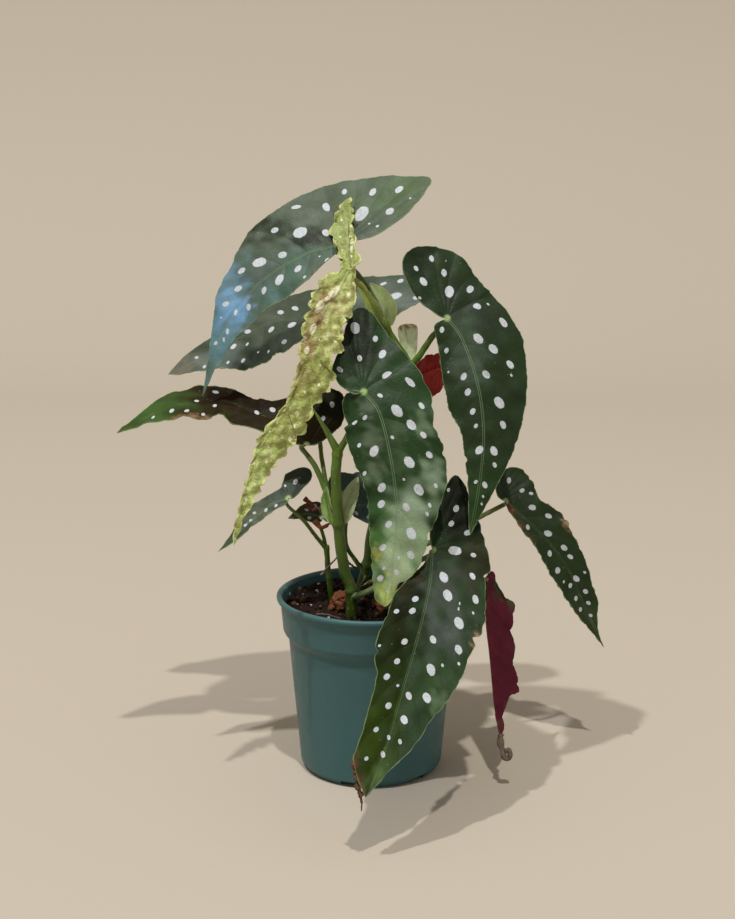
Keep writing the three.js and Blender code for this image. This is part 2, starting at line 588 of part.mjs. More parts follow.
function pottingSoil() {
  let body = solid(soilGeometry());
  body = body.subtract(soilHole(CANE_FRONT_PATH, CANE_FRONT_RADII[0]));
  body = body.subtract(soilHole(CANE_BACK_PATH, CANE_BACK_RADII[0]));
  body = body.subtract(soilHole(STEM_SMALL_PATH, STEM_SMALL_RADII[0]));
  return body;
}

const plant = new THREE.Group();

function addMesh(name, geometry, look) {
  const mesh = new THREE.Mesh(geometry, look);
  mesh.name = name;
  plant.add(mesh);
}

addMesh('pot', geometryOf(pot()), POT_GREEN);
addMesh('soil', geometryOf(pottingSoil()), SOIL_BROWN);
addMesh('cane_front', geometryOf(caneFront()), CANE_GREEN);
addMesh('cane_back', geometryOf(caneBack()), CANE_GREEN);
addMesh('stem_small', geometryOf(stemSmall()), CANE_GREEN);
addMesh('dried_scales_left', geometryOf(driedScalesLeft()), DRY_BROWN);
addMesh('dried_scales_right', geometryOf(driedScalesRight()), DRY_BROWN);
for (const [name, leaf] of Object.entries(leaves)) {
  addMesh(name, blade(leaf), name === 'leaf_young' ? YOUNG_GREEN : LEAF_GREEN);
}

export default plant;
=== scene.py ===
# Looks of the potted polka dot begonia. Measures are in mm until a mesh is made from them.
import math

import bpy
import numpy as np
from mathutils import Matrix, Vector

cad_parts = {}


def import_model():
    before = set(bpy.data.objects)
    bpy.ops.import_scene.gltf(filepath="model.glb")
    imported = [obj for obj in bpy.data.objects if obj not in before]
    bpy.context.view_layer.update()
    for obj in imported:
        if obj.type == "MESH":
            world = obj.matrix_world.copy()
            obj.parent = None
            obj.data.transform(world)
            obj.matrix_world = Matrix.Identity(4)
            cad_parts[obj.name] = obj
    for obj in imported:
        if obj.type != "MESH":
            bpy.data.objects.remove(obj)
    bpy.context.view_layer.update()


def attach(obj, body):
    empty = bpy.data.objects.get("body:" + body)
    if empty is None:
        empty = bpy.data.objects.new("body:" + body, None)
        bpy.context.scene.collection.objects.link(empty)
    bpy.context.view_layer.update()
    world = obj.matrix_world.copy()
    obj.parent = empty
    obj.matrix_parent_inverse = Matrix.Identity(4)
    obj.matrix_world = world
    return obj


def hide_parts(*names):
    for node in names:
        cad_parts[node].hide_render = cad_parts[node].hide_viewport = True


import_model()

MM = 0.001

# The pot, with the same sizes as its solid.
POT_HEIGHT = 100
LIP_RADIUS = 52.5
LIP_HEIGHT = 2.4
COLLAR_HEIGHT = 21
COLLAR_RADIUS = 50.4
COLLAR_TAPER = 1.4
BODY_TOP_RADIUS = 46
BODY_FOOT_RADIUS = 39.6
FOOT_RADIUS = 36.8
WALL = 1.3
FLOOR_RISE = 3.4
CENTRE_BOSS_RADIUS = 14
FOOT_NOTCHES = 6
FIRST_NOTCH_ANGLE = -108
FOOT_NOTCH_WIDTH = 10
FOOT_NOTCH_HEIGHT = 3.2
FOOT_NOTCH_REACH = 9
DRAIN_HOLE_RADIUS = 4.5
DRAIN_RING_RADIUS = 24
SOIL_BACK_DEPTH = 6
SOIL_FRONT_DEPTH = 11
TURN_STEPS = 180
CORNER_RADIUS = 0.7
HOLE_SIDES = 28
HOLE_CUTTER_SPAN = (-4, 12)

# The soil's grid, its crumbs and its grains of perlite. A crumb is between the first two sizes, or now
# and then between the last two. Three grains lie where the photograph shows them.
SOIL_RINGS = 70
SOIL_SIDES = 150
SOIL_EDGE_GAP = 1
SOIL_FOOT_RISE = 2
SOIL_TONE = (36, 23, 16)
CRUMBS = 420
CRUMB_SIZES = (0.5, 1.7, 2.8)
SMALL_CRUMB_SHARE = 0.85
CRUMB_TONES = [(52, 33, 23), (84, 54, 36), (40, 26, 18), (104, 70, 47), (30, 21, 16)]
PERLITE_GRAINS = 18
PERLITE_TONE = (196, 186, 170)
PERLITE_SEEN = [(-31, 24), (-46, 16), (-24, -30)]
PERLITE_SEEN_TONE = (206, 198, 184)

# Leaf blades. A grid is ribs in the basal fan, rows along the midrib and columns across each half.
BLADE_THICKNESS = 0.45
STIPULE_THICKNESS = 0.3
DRY_THICKNESS = 0.25
STALK_RUN_IN = 6
ROW_CROWDING = 1.25
SPOT_GROWTH = 1.13
SPOT_ASPECT = 1.18
SPOT_REACH = 0.5
VEIN_REACH = 0.9
SHARP_ANGLE = 50
POT_SHARP_ANGLE = 40
LEAF_GRID = (54, 120, 27)
YOUNG_GRID = (50, 190, 24)
SMALL_GRID = (30, 50, 14)
STIPULE_GRID = (2, 30, 8)
DRY_GRID = (2, 30, 10)
SMALL_LEAVES = ("leaf_small_left", "leaf_small_low", "leaf_middle_back", "leaf_back_right")
OLD_LEAVES = ("leaf_left", "leaf_lower_front", "leaf_middle_back", "leaf_upper_back")

# Veins of the big half and of the small one: shares of the margin that the fan's veins run to, and
# shares of the midrib that the side veins leave it at. Then how strong each kind is.
FAN_VEINS = {1: (0.1, 0.22, 0.34, 0.46, 0.6, 0.78), -1: (0.14, 0.3, 0.5)}
SIDE_VEINS = {1: (0.14, 0.27, 0.4, 0.54, 0.67, 0.8), -1: (0.12, 0.25, 0.38, 0.52, 0.66, 0.8)}
FAN_STRENGTH = 0.8
SIDE_STRENGTH = 0.6

# Stems thicker than this have more sides.
THICK_STEM = 2.5
CANE_SIDES = 28
STALK_SIDES = 20
SHRED_SIDES = 9

# The random seeds that each kind of piece starts from.
LEAF_SEED = 100
STIPULE_SEED = 400
DRY_SEED = 500
SOIL_SEED = 11

# The camera: a 66 mm lens at the photograph's height, distance and tilt.
CAMERA_PLACE = (-2.0743, -895.5411, 380.1947)
CAMERA_PITCH = 0.2245
CAMERA_LENS = 66
SENSOR_WIDTH = 36

# The paper that the pot stands on and that curves up behind it.
PAPER_FRONT = -4000
PAPER_MIDDLE = 600
PAPER_HALF_WIDTH = 6000
BEND_START = 1100
BEND_RADIUS = 700
PAPER_TOP = 5000
PAPER_TONE = (175, 165, 150)

# Two small far lamps give the two sets of soft-edged shadows. Places in metres, power in watts.
LAMP_AIM = (0, 0, 0.12)
LAMP_SIZE = 0.14
LAMP_POWER = 155
LAMPS = {
    "lamp_above": ((0.29, -2.03, 5.0), (1.0, 0.98, 0.94)),
    "lamp_left": ((-1.62, -1.48, 5.0), (0.97, 0.98, 1.0)),
}
AIR_COLOUR = (1.0, 0.98, 0.95)
AIR_STRENGTH = 0.46


def linear(colour):
    """An sRGB colour of 0 to 255 as linear values."""
    c = np.asarray(colour, float) / 255
    return np.where(c <= 0.04045, c / 12.92, ((c + 0.055) / 1.055) ** 2.4)


def smoothstep(low, high, x):
    t = np.clip((x - low) / (high - low), 0, 1)
    return t * t * (3 - 2 * t)


def ripple(x, y, wavelength, seed):
    """A smooth uneven field from about -1 to 1, the same each time for one seed."""
    rng = np.random.default_rng(seed)
    total = np.zeros(np.broadcast(x, y).shape)
    for _ in range(7):
        angle, phase = rng.uniform(0, 2 * math.pi, 2)
        k = 2 * math.pi / (wavelength * rng.uniform(0.7, 1.5))
        total += np.sin(k * (x * math.cos(angle) + y * math.sin(angle)) + phase)
    return total / 3.2


# Curves

def smooth(points, reflect=True, power=0.0, per_span=48):
    """Close points on a Catmull-Rom curve through the given ones."""
    p = np.asarray(points, float)
    first = 2 * p[0] - p[1] if reflect else p[0]
    last = 2 * p[-1] - p[-2] if reflect else p[-1]
    p = np.vstack([first, p, last])
    u = np.linspace(0, 1, per_span, endpoint=False)[:, None]
    out = []
    for a, b, c, d in zip(p, p[1:], p[2:], p[3:]):
        g0, g1, g2 = (max(np.linalg.norm(y - x), 1e-9) ** power for x, y in ((a, b), (b, c), (c, d)))
        start = ((b - a) / g0 - (c - a) / (g0 + g1) + (c - b) / g1) * g1
        end = ((c - b) / g1 - (d - b) / (g1 + g2) + (d - c) / g2) * g1
        out.append(
            b + start * u
            + (-3 * b + 3 * c - 2 * start - end) * u**2
            + (2 * b - 2 * c + start + end) * u**3)
    return np.vstack([*out, p[-2]])


class Run:
    """A curve measured by its own length, from share 0 to share 1."""

    def __init__(self, points, **how):
        self.points = smooth(points, **how)
        steps = np.linalg.norm(np.diff(self.points, axis=0), axis=1)
        self.far = np.concatenate([[0], np.cumsum(steps)])
        self.length = self.far[-1]

    def at(self, share):
        d = np.clip(share, 0, 1) * self.length
        return np.stack([np.interp(d, self.far, c) for c in self.points.T], -1)

    def tangent(self, share):
        step = self.at(np.clip(share, 0, 1) + 0.004) - self.at(np.clip(share, 0, 1) - 0.004)
        return step / np.linalg.norm(step, axis=-1, keepdims=True)


# Meshes

def new_mesh(name, points, faces):
    mesh = bpy.data.meshes.new(name)
    mesh.from_pydata((np.asarray(points) * MM).tolist(), [], faces)
    return mesh


def in_scene(name, data):
    made = bpy.data.objects.new(name, data)
    bpy.context.scene.collection.objects.link(made)
    return made


def new_piece(name, points, faces, materials, which=None, tones=None, fields=None, replaced=()):
    """A smooth mesh piece that rides on the root. Points are in mm."""
    mesh = new_mesh(name, points, faces)
    for m in materials:
        mesh.materials.append(m)
    if which is not None:
        mesh.polygons.foreach_set("material_index", np.asarray(which, np.int32))
    if tones is not None:
        layer = mesh.color_attributes.new("tone", "FLOAT_COLOR", "POINT")
        rgba = np.concatenate([tones, np.ones((len(tones), 1))], 1)
        layer.data.foreach_set("color", rgba.astype(np.float32).ravel())
    for key, values in (fields or {}).items():
        layer = mesh.attributes.new(key, "FLOAT_VECTOR", "POINT")
        layer.data.foreach_set("vector", np.asarray(values, np.float32).ravel())
    mesh.validate()
    mesh.polygons.foreach_set("use_smooth", [True] * len(mesh.polygons))
    mesh.set_sharp_from_angle(angle=math.radians(SHARP_ANGLE))
    piece = in_scene(name, mesh)
    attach(piece, "root")
    if replaced:
        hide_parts(*replaced)
    return piece


class Soup:
    """Meshes gathered into one piece, with a colour at each point."""

    def __init__(self):
        self.points, self.faces, self.tones, self.count = [], [], [], 0

    def add(self, points, faces, tones):
        tones = np.broadcast_to(np.asarray(tones, float), (len(points), 3))
        self.points.append(points)
        self.tones.append(tones)
        self.faces += [[k + self.count for k in f] for f in faces]
        self.count += len(points)

    def piece(self, name, material, slot, replaced=()):
        return new_piece(name, np.vstack(self.points), self.faces, [material],
                         tones=np.vstack(self.tones), replaced=replaced)


# Materials

class Look:
    """A material and short ways to add its nodes. Lengths inside it are in mm."""

    def __init__(self, name):
        self.material = bpy.data.materials.new(name)
        self.material.use_nodes = True
        self.tree = self.material.node_tree
        self.shader = self.tree.nodes["Principled BSDF"]
        place = self.node("ShaderNodeTexCoord").outputs["Object"]
        scaled = self.node("ShaderNodeVectorMath", operation="SCALE")
        self.link(place, scaled.inputs[0])
        scaled.inputs["Scale"].default_value = 1 / MM
        self.mm = scaled.outputs[0]

    def node(self, kind, **settings):
        made = self.tree.nodes.new(kind)
        for key, value in settings.items():
            setattr(made, key, value)
        return made

    def link(self, a, b):
        self.tree.links.new(a, b)

    def feed(self, socket, value):
        if isinstance(value, bpy.types.NodeSocket):
            self.link(value, socket)
        elif socket.type == "RGBA":
            socket.default_value = (*value, 1)
        else:
            socket.default_value = value

    def set(self, **values):
        for key, value in values.items():
            self.feed(self.shader.inputs[key.replace("_", " ")], value)

    def math(self, operation, a, b=0.0, c=0.0):
        made = self.node("ShaderNodeMath", operation=operation)
        for socket, value in zip(made.inputs, (a, b, c)):
            self.feed(socket, value)
        return made.outputs[0]

    def times(self, a, b):
        return self.math("MULTIPLY", a, b)

    def plus(self, a, b):
        return self.math("ADD", a, b)

    def far(self, a, b):
        return self.math("SQRT", self.plus(self.times(a, a), self.times(b, b)))

    def rise(self, value, low, high, start=0.0, end=1.0):
        made = self.node("ShaderNodeMapRange", interpolation_type="SMOOTHSTEP")
        for socket, v in zip(made.inputs, (value, low, high, start, end)):
            self.feed(socket, v)
        return made.outputs[0]

    def mix(self, share, a, b, blend="MIX"):
        made = self.node("ShaderNodeMix", data_type="RGBA", blend_type=blend)
        self.feed(made.inputs[0], share)
        self.feed(made.inputs[6], a)
        self.feed(made.inputs[7], b)
        return made.outputs[2]

    def noise(self, size, detail=3.0, roughness=0.5, stretch=None):
        """Noise whose features are about size mm across."""
        made = self.node("ShaderNodeTexNoise")
        made.inputs["Scale"].default_value = 1 / size
        made.inputs["Detail"].default_value = detail
        made.inputs["Roughness"].default_value = roughness
        self.link(self.stretched(stretch), made.inputs["Vector"])
        return made.outputs[0]

    def cells(self, size, stretch=None):
        made = self.node("ShaderNodeTexVoronoi")
        made.inputs["Scale"].default_value = 1 / size
        self.link(self.stretched(stretch), made.inputs["Vector"])
        return made.outputs["Distance"]

    def stretched(self, stretch):
        if stretch is None:
            return self.mm
        made = self.node("ShaderNodeVectorMath", operation="MULTIPLY")
        self.link(self.mm, made.inputs[0])
        made.inputs[1].default_value = stretch
        return made.outputs[0]

    def attribute(self, name):
        return self.node("ShaderNodeAttribute", attribute_name=name)

    def tone(self, name="tone"):
        return self.attribute(name).outputs["Color"]

    def split(self, vector):
        made = self.node("ShaderNodeSeparateXYZ")
        self.link(vector, made.inputs[0])
        return made.outputs[0], made.outputs[1], made.outputs[2]

    def parts(self, name):
        return self.split(self.attribute(name).outputs["Vector"])

    def shade(self, colour, amount, low=0.75, high=1.25):
        """The colour made darker or lighter by a value of 0 to 1."""
        factor = self.rise(amount, 0.0, 1.0, low, high)
        grey = self.node("ShaderNodeCombineColor")
        for k in range(3):
            self.link(factor, grey.inputs[k])
        return self.mix(1.0, colour, grey.outputs[0], "MULTIPLY")

    def bump(self, height):
        """Relief from a height in mm."""
        made = self.node("ShaderNodeBump")
        made.inputs["Strength"].default_value = 1.0
        made.inputs["Distance"].default_value = MM
        self.link(height, made.inputs["Height"])
        self.link(made.outputs[0], self.shader.inputs["Normal"])


def vein_mask(look, near, far):
    """1 on a vein and 0 beside it, and the vein's strength."""
    signed, guard, strength = look.parts("vein")
    away = look.math("MAXIMUM", look.math("ABSOLUTE", signed), guard)
    return look.rise(away, near, far, 1.0, 0.0), strength


def midrib_lines(look, s, t, strength):
    """Two fine lines, one along each side of the midrib."""
    away = look.math("ABSOLUTE", t)
    pair = look.times(look.rise(away, 0.15, 0.4), look.rise(away, 0.5, 0.85, 1.0, 0.0))
    pair = look.times(pair, look.rise(s, 0.0, 2.0))
    return look.times(pair, strength)


def spot_mask(look, soft=0.08, uneven=0.16):
    """1 inside a spot and 0 outside it, with an uneven edge."""
    along, across, guard = look.parts("spot")
    away = look.math("MAXIMUM", look.far(along, across), guard)
    wobble = look.times(look.math("SUBTRACT", look.noise(1.6, 2.0), 0.5), uneven * 2)
    away = look.plus(away, wobble)
    return look.rise(away, 1 - soft, 1 + soft, 1.0, 0.0)


def leaf_upper(name, gloss):
    """The spotted upper face: mottling, furrows with painted shade, midrib lines, a pale eye and silver
    spots.
    """
    look = Look(name)
    colour = look.tone()
    colour = look.shade(colour, look.noise(10, 3.0), 0.7, 1.3)
    colour = look.shade(colour, look.noise(0.5, 2.0, 0.7), 0.7, 1.3)
    vein, strength = vein_mask(look, 0.1, 1.1)
    furrow = look.times(vein, strength)
    # Painted shade: the furrows along the veins are painted darker, as shade in the creases.
    colour = look.shade(colour, furrow, 1.0, 0.8)
    s, t, edge = look.parts("flat")
    lines = midrib_lines(look, s, t, strength)
    colour = look.mix(look.times(lines, 0.6), colour, linear((118, 142, 100)))
    eye = look.rise(look.far(s, t), 0.7, 2.6, 1.0, 0.0)
    colour = look.mix(look.times(eye, 0.85), colour, linear((150, 178, 112)))
    specks = look.rise(look.cells(5.5), 0.03, 0.06, 0.5, 0.0)
    colour = look.mix(specks, colour, linear((140, 155, 140)))
    silver = look.shade(linear((186, 190, 194)), look.noise(0.8, 3.0, 0.9), 0.5, 1.42)
    grain = look.rise(look.noise(0.9, 2.0, 0.8), 0.3, 0.42, 0.62, 0.96)
    colour = look.mix(look.times(spot_mask(look), grain), colour, silver)
    colour = look.mix(look.rise(edge, 0.08, 0.36, 0.65, 0.0), colour, linear((126, 146, 98)))
    roughness = look.rise(look.noise(2.2, 4.0, 0.7), 0.2, 0.8, 0.4, 0.58)
    look.set(Base_Color=colour, Roughness=roughness, Specular_IOR_Level=gloss)
    pores = look.times(look.noise(0.6, 2.0, 0.6), 0.14)
    cells = look.times(look.cells(1.3), 0.06)
    creases = look.times(furrow, -0.18)
    quilting = look.times(look.noise(6, 3.0), 0.4)
    look.bump(look.plus(look.plus(pores, cells), look.plus(creases, quilting)))
    return look.material


def leaf_under():
    look = Look("begonia_leaf_underside")
    colour = look.tone("under")
    colour = look.shade(colour, look.noise(7, 4.0, 0.6), 0.6, 1.4)
    colour = look.shade(colour, look.noise(0.7, 2.0, 0.6), 0.8, 1.2)
    vein, strength = vein_mask(look, 0.1, 0.6)
    ribs = look.times(vein, strength)
    colour = look.shade(colour, ribs, 1.0, 1.5)
    look.set(Base_Color=colour, Roughness=0.5, Specular_IOR_Level=0.16)
    pores = look.times(look.noise(0.7, 3.0, 0.6), 0.18)
    look.bump(look.plus(look.times(ribs, 0.35), pores))
    return look.material


def young_upper():
    look = Look("begonia_young_leaf_upper")
    colour = look.tone()
    colour = look.shade(colour, look.noise(3.5, 4.0, 0.65), 0.6, 1.4)
    blush = look.rise(look.noise(5, 3.0), 0.5, 0.72, 0.0, 0.4)
    colour = look.mix(blush, colour, linear((142, 112, 66)))
    vein, strength = vein_mask(look, 0.1, 0.8)
    # Painted shade: the furrows along the veins are painted darker, as shade in the creases.
    colour = look.shade(colour, look.times(vein, strength), 1.0, 0.72)
    spot = spot_mask(look, 0.2, 0.35)
    colour = look.mix(look.times(spot, 0.8), colour, linear((212, 208, 172)))
    edge = look.parts("flat")[2]
    colour = look.mix(look.rise(edge, 0.15, 1.0, 0.75, 0.0), colour, linear((196, 200, 132)))
    look.set(Base_Color=colour, Roughness=0.42, Specular_IOR_Level=0.35)
    pores = look.times(look.noise(0.9, 3.0, 0.6), 0.3)
    crinkle = look.times(look.noise(2.6, 2.0, 0.5), 1.3)
    look.bump(look.plus(pores, crinkle))
    return look.material


def stem_skin():
    look = Look("begonia_stem")
    colour = look.tone()
    colour = look.shade(colour, look.noise(5, 4.0, 0.6, (1, 1, 0.3)), 0.7, 1.3)
    pores = look.rise(look.cells(2.6, (1, 1, 0.45)), 0.1, 0.18, 0.35, 0.0)
    colour = look.mix(pores, colour, linear((150, 165, 110)))
    look.set(Base_Color=colour, Roughness=0.4, Specular_IOR_Level=0.35)
    fibres = look.times(look.noise(0.9, 3.0, 0.6, (1, 1, 0.12)), 0.22)
    look.bump(look.plus(fibres, look.times(pores, 0.1)))
    return look.material


def stipule_skin():
    look = Look("begonia_stipule")
    colour = look.tone()
    colour = look.shade(colour, look.noise(3, 3.0), 0.78, 1.22)
    streaks = look.noise(0.7, 3.0, 0.6, (1, 1, 0.15))
    colour = look.shade(colour, streaks, 0.85, 1.15)
    edge = look.parts("flat")[2]
    colour = look.mix(look.rise(edge, 0.1, 0.6, 0.55, 0.0), colour, linear((170, 176, 118)))
    look.set(Base_Color=colour, Roughness=0.5, Specular_IOR_Level=0.35)
    look.bump(look.times(streaks, 0.3))
    return look.material


def dry_skin():
    look = Look("begonia_dry_scale")
    colour = look.tone()
    colour = look.shade(colour, look.noise(1.6, 4.0, 0.7), 0.45, 1.5)
    look.set(Base_Color=colour, Roughness=0.8, Specular_IOR_Level=0.25)
    look.bump(look.times(look.noise(0.9, 4.0, 0.7), 0.8))
    return look.material


def pot_plastic():
    look = Look("nursery_pot_plastic")
    colour = look.shade(linear((60, 95, 96)), look.noise(22, 4.0, 0.6), 0.93, 1.07)
    dust = look.rise(look.noise(1.1, 3.0, 0.8), 0.7, 0.76, 0.0, 0.3)
    colour = look.mix(dust, colour, linear((150, 160, 155)))
    roughness = look.rise(look.noise(6, 4.0, 0.7), 0.3, 0.7, 0.36, 0.48)
    look.set(Base_Color=colour, Roughness=roughness, Specular_IOR_Level=0.26)
    look.bump(look.times(look.noise(0.5, 2.0), 0.03))
    return look.material


def soil_crumbs():
    look = Look("potting_soil")
    colour = look.tone()
    colour = look.shade(colour, look.noise(1.2, 5.0, 0.75), 0.4, 1.6)
    look.set(Base_Color=colour, Roughness=0.95, Specular_IOR_Level=0.2)
    look.bump(look.times(look.noise(0.7, 5.0, 0.75), 1.2))
    return look.material


# Leaves. A leaf is measured flat: s runs along the midrib from the sinus, and t across it, positive
# on the big half. The outlines and the folds are those of the leaf's solid.

class Leaf:
    """A leaf's midrib in space, and the outlines of its two halves laid flat."""

    def __init__(self, shape):
        self.shape = shape
        self.midrib = Run(shape["midrib"])
        self.length = self.midrib.length
        self.hand = shape["hand"]
        tip = [self.length, 0]
        self.runs = {
            1: Run([[0, 0], *shape["big"], tip], reflect=False),
            -1: Run([[0, 0], *shape["small"], tip], reflect=False),
        }
        shares = np.arange(1, 200) / 200
        back = self.runs[1].at(shares)[:, 0] < 0.03 * self.length
        self.shoulder = shares[back].max() if back.any() else 0.005

    def frame(self, s):
        """The midrib's place, its direction and the blade's normal at each s."""
        along = np.clip(s / self.length, 0, 1)
        tangent = self.midrib.tangent(along)
        origin = self.midrib.at(along) + tangent * np.minimum(s, 0)[..., None]
        base, tip = (np.array(way) / np.linalg.norm(way) for way in self.shape["face"])
        face = base + (tip - base) * along[..., None]
        normal = face - tangent * np.sum(face * tangent, -1, keepdims=True)
        normal /= np.linalg.norm(normal, axis=-1, keepdims=True)
        across = np.cross(normal, tangent) * self.hand
        return along, origin, tangent, normal, across

    def place(self, s, t, half, lift):
        """Where flat places of one half lie in space."""
        along, origin, _, normal, across = self.frame(s)
        base, tip = (angles[0 if half > 0 else 1] for angles in self.shape["fold"])
        angle = np.radians(base + (tip - base) * along)
        rise = half * t * np.sin(angle) - self.shape["droop"] * t * t / 60 + lift
        return origin + across * (t * np.cos(angle))[..., None] + normal * rise[..., None]

    def veins(self):
        """Lines of [s, t] points, each with its strength where it starts."""
        lines = [(np.linspace([0, 0], [self.length, 0], 30), self.shape.get("spine", 1.0))]
        for half, run in self.runs.items():
            low, reach, first = (self.shoulder, self.shoulder, 0.12) if half > 0 else (0.0, 0.3, 0.0)
            for share in FAN_VEINS[half]:
                end = run.at(np.array(share * reach + first))
                lines.append((bow([0, 0], end * 0.95, 0.05 * self.length), FAN_STRENGTH))
            for share in SIDE_VEINS[half]:
                start = np.array([self.length * share, 0])
                end = run.at(np.array(low + (1 - low) * min(0.97, share + 0.16)))
                end = start + (end - start) * 0.94
                lines.append((bow(start, end, 0.04 * self.length), SIDE_STRENGTH))
        return lines


def bow(start, end, pull):
    """A line from start to end that bends towards the leaf's tip."""
    start, end = np.array(start, float), np.array(end, float)
    middle = (start + end) / 2 - np.array([pull, 0])
    u = np.linspace(0, 1, 12)[:, None]
    return (1 - u) ** 2 * start + 2 * u * (1 - u) * middle + u**2 * end


def nearest_line(flat, lines):
    """Signed distance to the nearest line, its size less the vein's reach, and the line's strength."""
    best = np.full(len(flat), 1e9)
    signed = np.zeros(len(flat))
    strength = np.zeros(len(flat))
    for line, force in lines:
        for k, (a, b) in enumerate(zip(line, line[1:])):
            d = b - a
            u = np.clip(((flat - a) @ d) / max(d @ d, 1e-12), 0, 1)
            off = flat - (a + u[:, None] * d)
            away = np.linalg.norm(off, axis=1)
            side = np.sign(d[0] * off[:, 1] - d[1] * off[:, 0])
            closer = away < best
            share = (k + u) / (len(line) - 1)
            best = np.where(closer, away, best)
            signed = np.where(closer, away * side, signed)
            strength = np.where(closer, force * (1 - 0.65 * share), strength)
    return signed, best - VEIN_REACH, strength


def spot_field(flat, spots):
    """For each point, where it lies in its nearest spot: 1 is the spot's edge."""
    field = np.tile([9.0, 9.0, 9.0], (len(flat), 1))
    best = np.full(len(flat), 1e9)
    for s, t, r, *rest in spots:
        r = r * SPOT_GROWTH
        if rest:
            aspect, angle = rest
        else:
            aspect = SPOT_ASPECT
            lobe = smoothstep(20, -5, s)
            angle = lobe * math.atan2(t, s) + (1 - lobe) * math.copysign(0.6, t)
        c, q = math.cos(angle), math.sin(angle)
        x = ((flat[:, 0] - s) * c + (flat[:, 1] - t) * q) / (r * aspect)
        y = (-(flat[:, 0] - s) * q + (flat[:, 1] - t) * c) / (r / aspect)
        away = np.hypot(x, y)
        gap = (away - 1) * r
        closer = gap < best
        best = np.where(closer, gap, best)
        field[closer] = np.stack([x, y, away - SPOT_REACH / r], 1)[closer]
    return field


def scattered_spots(leaf, count, low, high, seed, given=()):
    """The given spots and others strewn between the midrib and the margin, kept apart from each other."""
    rng = np.random.default_rng(seed)
    made = list(given)
    for _ in range(count * 30):
        half = 1 if rng.random() < 0.6 else -1
        u, v = rng.uniform(0.05, 0.93), rng.uniform(0.25, 0.8)
        s, t = leaf.runs[half].at(np.array(u)) * v
        if half < 0 or u > leaf.shoulder:
            s += leaf.length * u**1.3 * (1 - v) * 0.9
        r = rng.uniform(low, high) if rng.random() < 0.75 else rng.uniform(0.35, 0.6)
        if all(math.hypot(s - a, t - b) > r + q + 2.2 for a, b, q, *_ in made):
            made.append((s, t, r))
        if len(made) == count:
            break
    return made


def blend_tones(flat, base, blobs):
    """The base colour with soft patches of others: (s, t, radius, colour). Besides the leaves' own colours,
    some patches are painted sheen and some painted shade.
    """
    tone = np.tile(linear(base), (len(flat), 1))
    for s, t, radius, colour in blobs:
        away = np.hypot((flat[:, 0] - s) / 1.2, (flat[:, 1] - t) * 1.15)
        away += 0.3 * radius * ripple(flat[:, 0], flat[:, 1], 0.7 * radius, 5)
        share = smoothstep(radius * 1.15, radius * 0.1, away)[:, None]
        tone = tone * (1 - share) + linear(colour) * share
    return tone


def scallop_phase(far, length, seed):
    """Where each point stands in the run of uneven scallops along the margin."""
    return math.pi * far / length + 1.3 * ripple(far, 0 * far, 4 * length, seed)


def midrib_rows(leaf, rows):
    """Where the ribs leave the midrib, closer together towards the sinus."""
    return leaf.length * (np.arange(rows + 1) / rows) ** ROW_CROWDING


def margin(leaf, half, shares, seed):
    """The margin with its scallops, small teeth and bites, and how far its ruffles curl up."""
    shape, run = leaf.shape, leaf.runs[half]
    height, length = shape.get("scallop", (0.6, 8))
    edge, tangent = run.at(shares), run.tangent(shares)
    outward = np.stack([tangent[:, 1], -tangent[:, 0]], 1) * -half
    far = shares * run.length
    phase = scallop_phase(far, length, seed + half)
    fade = np.sqrt(np.sin(np.pi * shares))
    teeth = 0.18 * ripple(far, 0 * far, 2.2, seed) + 0.25 * ripple(far, 0 * far, 5, seed)
    proud = fade * (shape.get("ragged", 1) * teeth + height * (np.abs(np.sin(phase)) - 0.64))
    for s, t, deep, wide in shape.get("bites", ()):
        away = np.hypot(edge[:, 0] - s, edge[:, 1] - t) / wide
        proud -= deep * np.exp(-(away**2))
    return edge + outward * proud[:, None], fade * np.sin(phase) * shape.get("ruffle", 0.5)


def ribs_of(leaf, half, grid, seed):
    """The points of one half's ribs: flat places, shares of the margin, reach from the midrib, curl."""
    fan, rows, columns = grid
    shares = [leaf.shoulder * k / fan for k in range(1, fan + 1)] if half > 0 else []
    start = leaf.shoulder if half > 0 else 0.0
    shares = np.array(shares + [start + (1 - start) * i / rows for i in range(1, rows)])
    bases = np.zeros((len(shares), 2))
    bases[-(rows - 1):, 0] = midrib_rows(leaf, rows)[1:rows]
    if half > 0 and "lobe" in leaf.shape:
        # The ribs of a long narrow lobe start along its own middle line.
        lobe = np.array(leaf.shape["lobe"], float)
        along = np.clip(leaf.runs[half].at(shares[:fan]) @ lobe / (lobe @ lobe), 0, 0.9)
        bases[:fan] = along[:, None] * lobe
    edge, curl = margin(leaf, half, shares, seed)
    v = np.arange(1, columns + 1) / columns
    flat = bases[:, None] + (edge - bases)[:, None] * v[:, None]
    reach = np.tile(v, len(shares))
    return flat.reshape(-1, 2), np.repeat(shares, columns), reach, np.outer(curl, v**3).ravel()


def sheet_faces(leaf, grid):
    """The faces between the ribs, and the edges round the margin."""
    fan, rows, columns = grid
    count = rows + 1
    sheet, rim = [], []
    for half in (1, -1):
        heads = [0] * (fan if half > 0 else 0) + list(range(1, rows))
        ids = (count + np.arange(len(heads) * columns)).reshape(-1, columns)
        count += ids.size
        ribs = [[head, *row] for head, row in zip(heads, ids.tolist())] + [[rows] * (columns + 1)]
        if half > 0:
            first = ribs[0]
        else:
            ribs = [[0] * (columns + 1)] + ribs
        turn = half * leaf.hand > 0
        for one, two in zip(ribs, ribs[1:]):
            for j in range(columns):
                loop = list(dict.fromkeys([one[j], two[j], two[j + 1], one[j + 1]]))
                if len(loop) > 2:
                    sheet.append(loop if turn else loop[::-1])
            rim.append((one[-1], two[-1]) if turn else (two[-1], one[-1]))
    # The fan's first rib is an edge of the sheet too.
    rim += [(a, b) if leaf.hand > 0 else (b, a) for a, b in zip(first, first[1:])]
    return sheet, rim


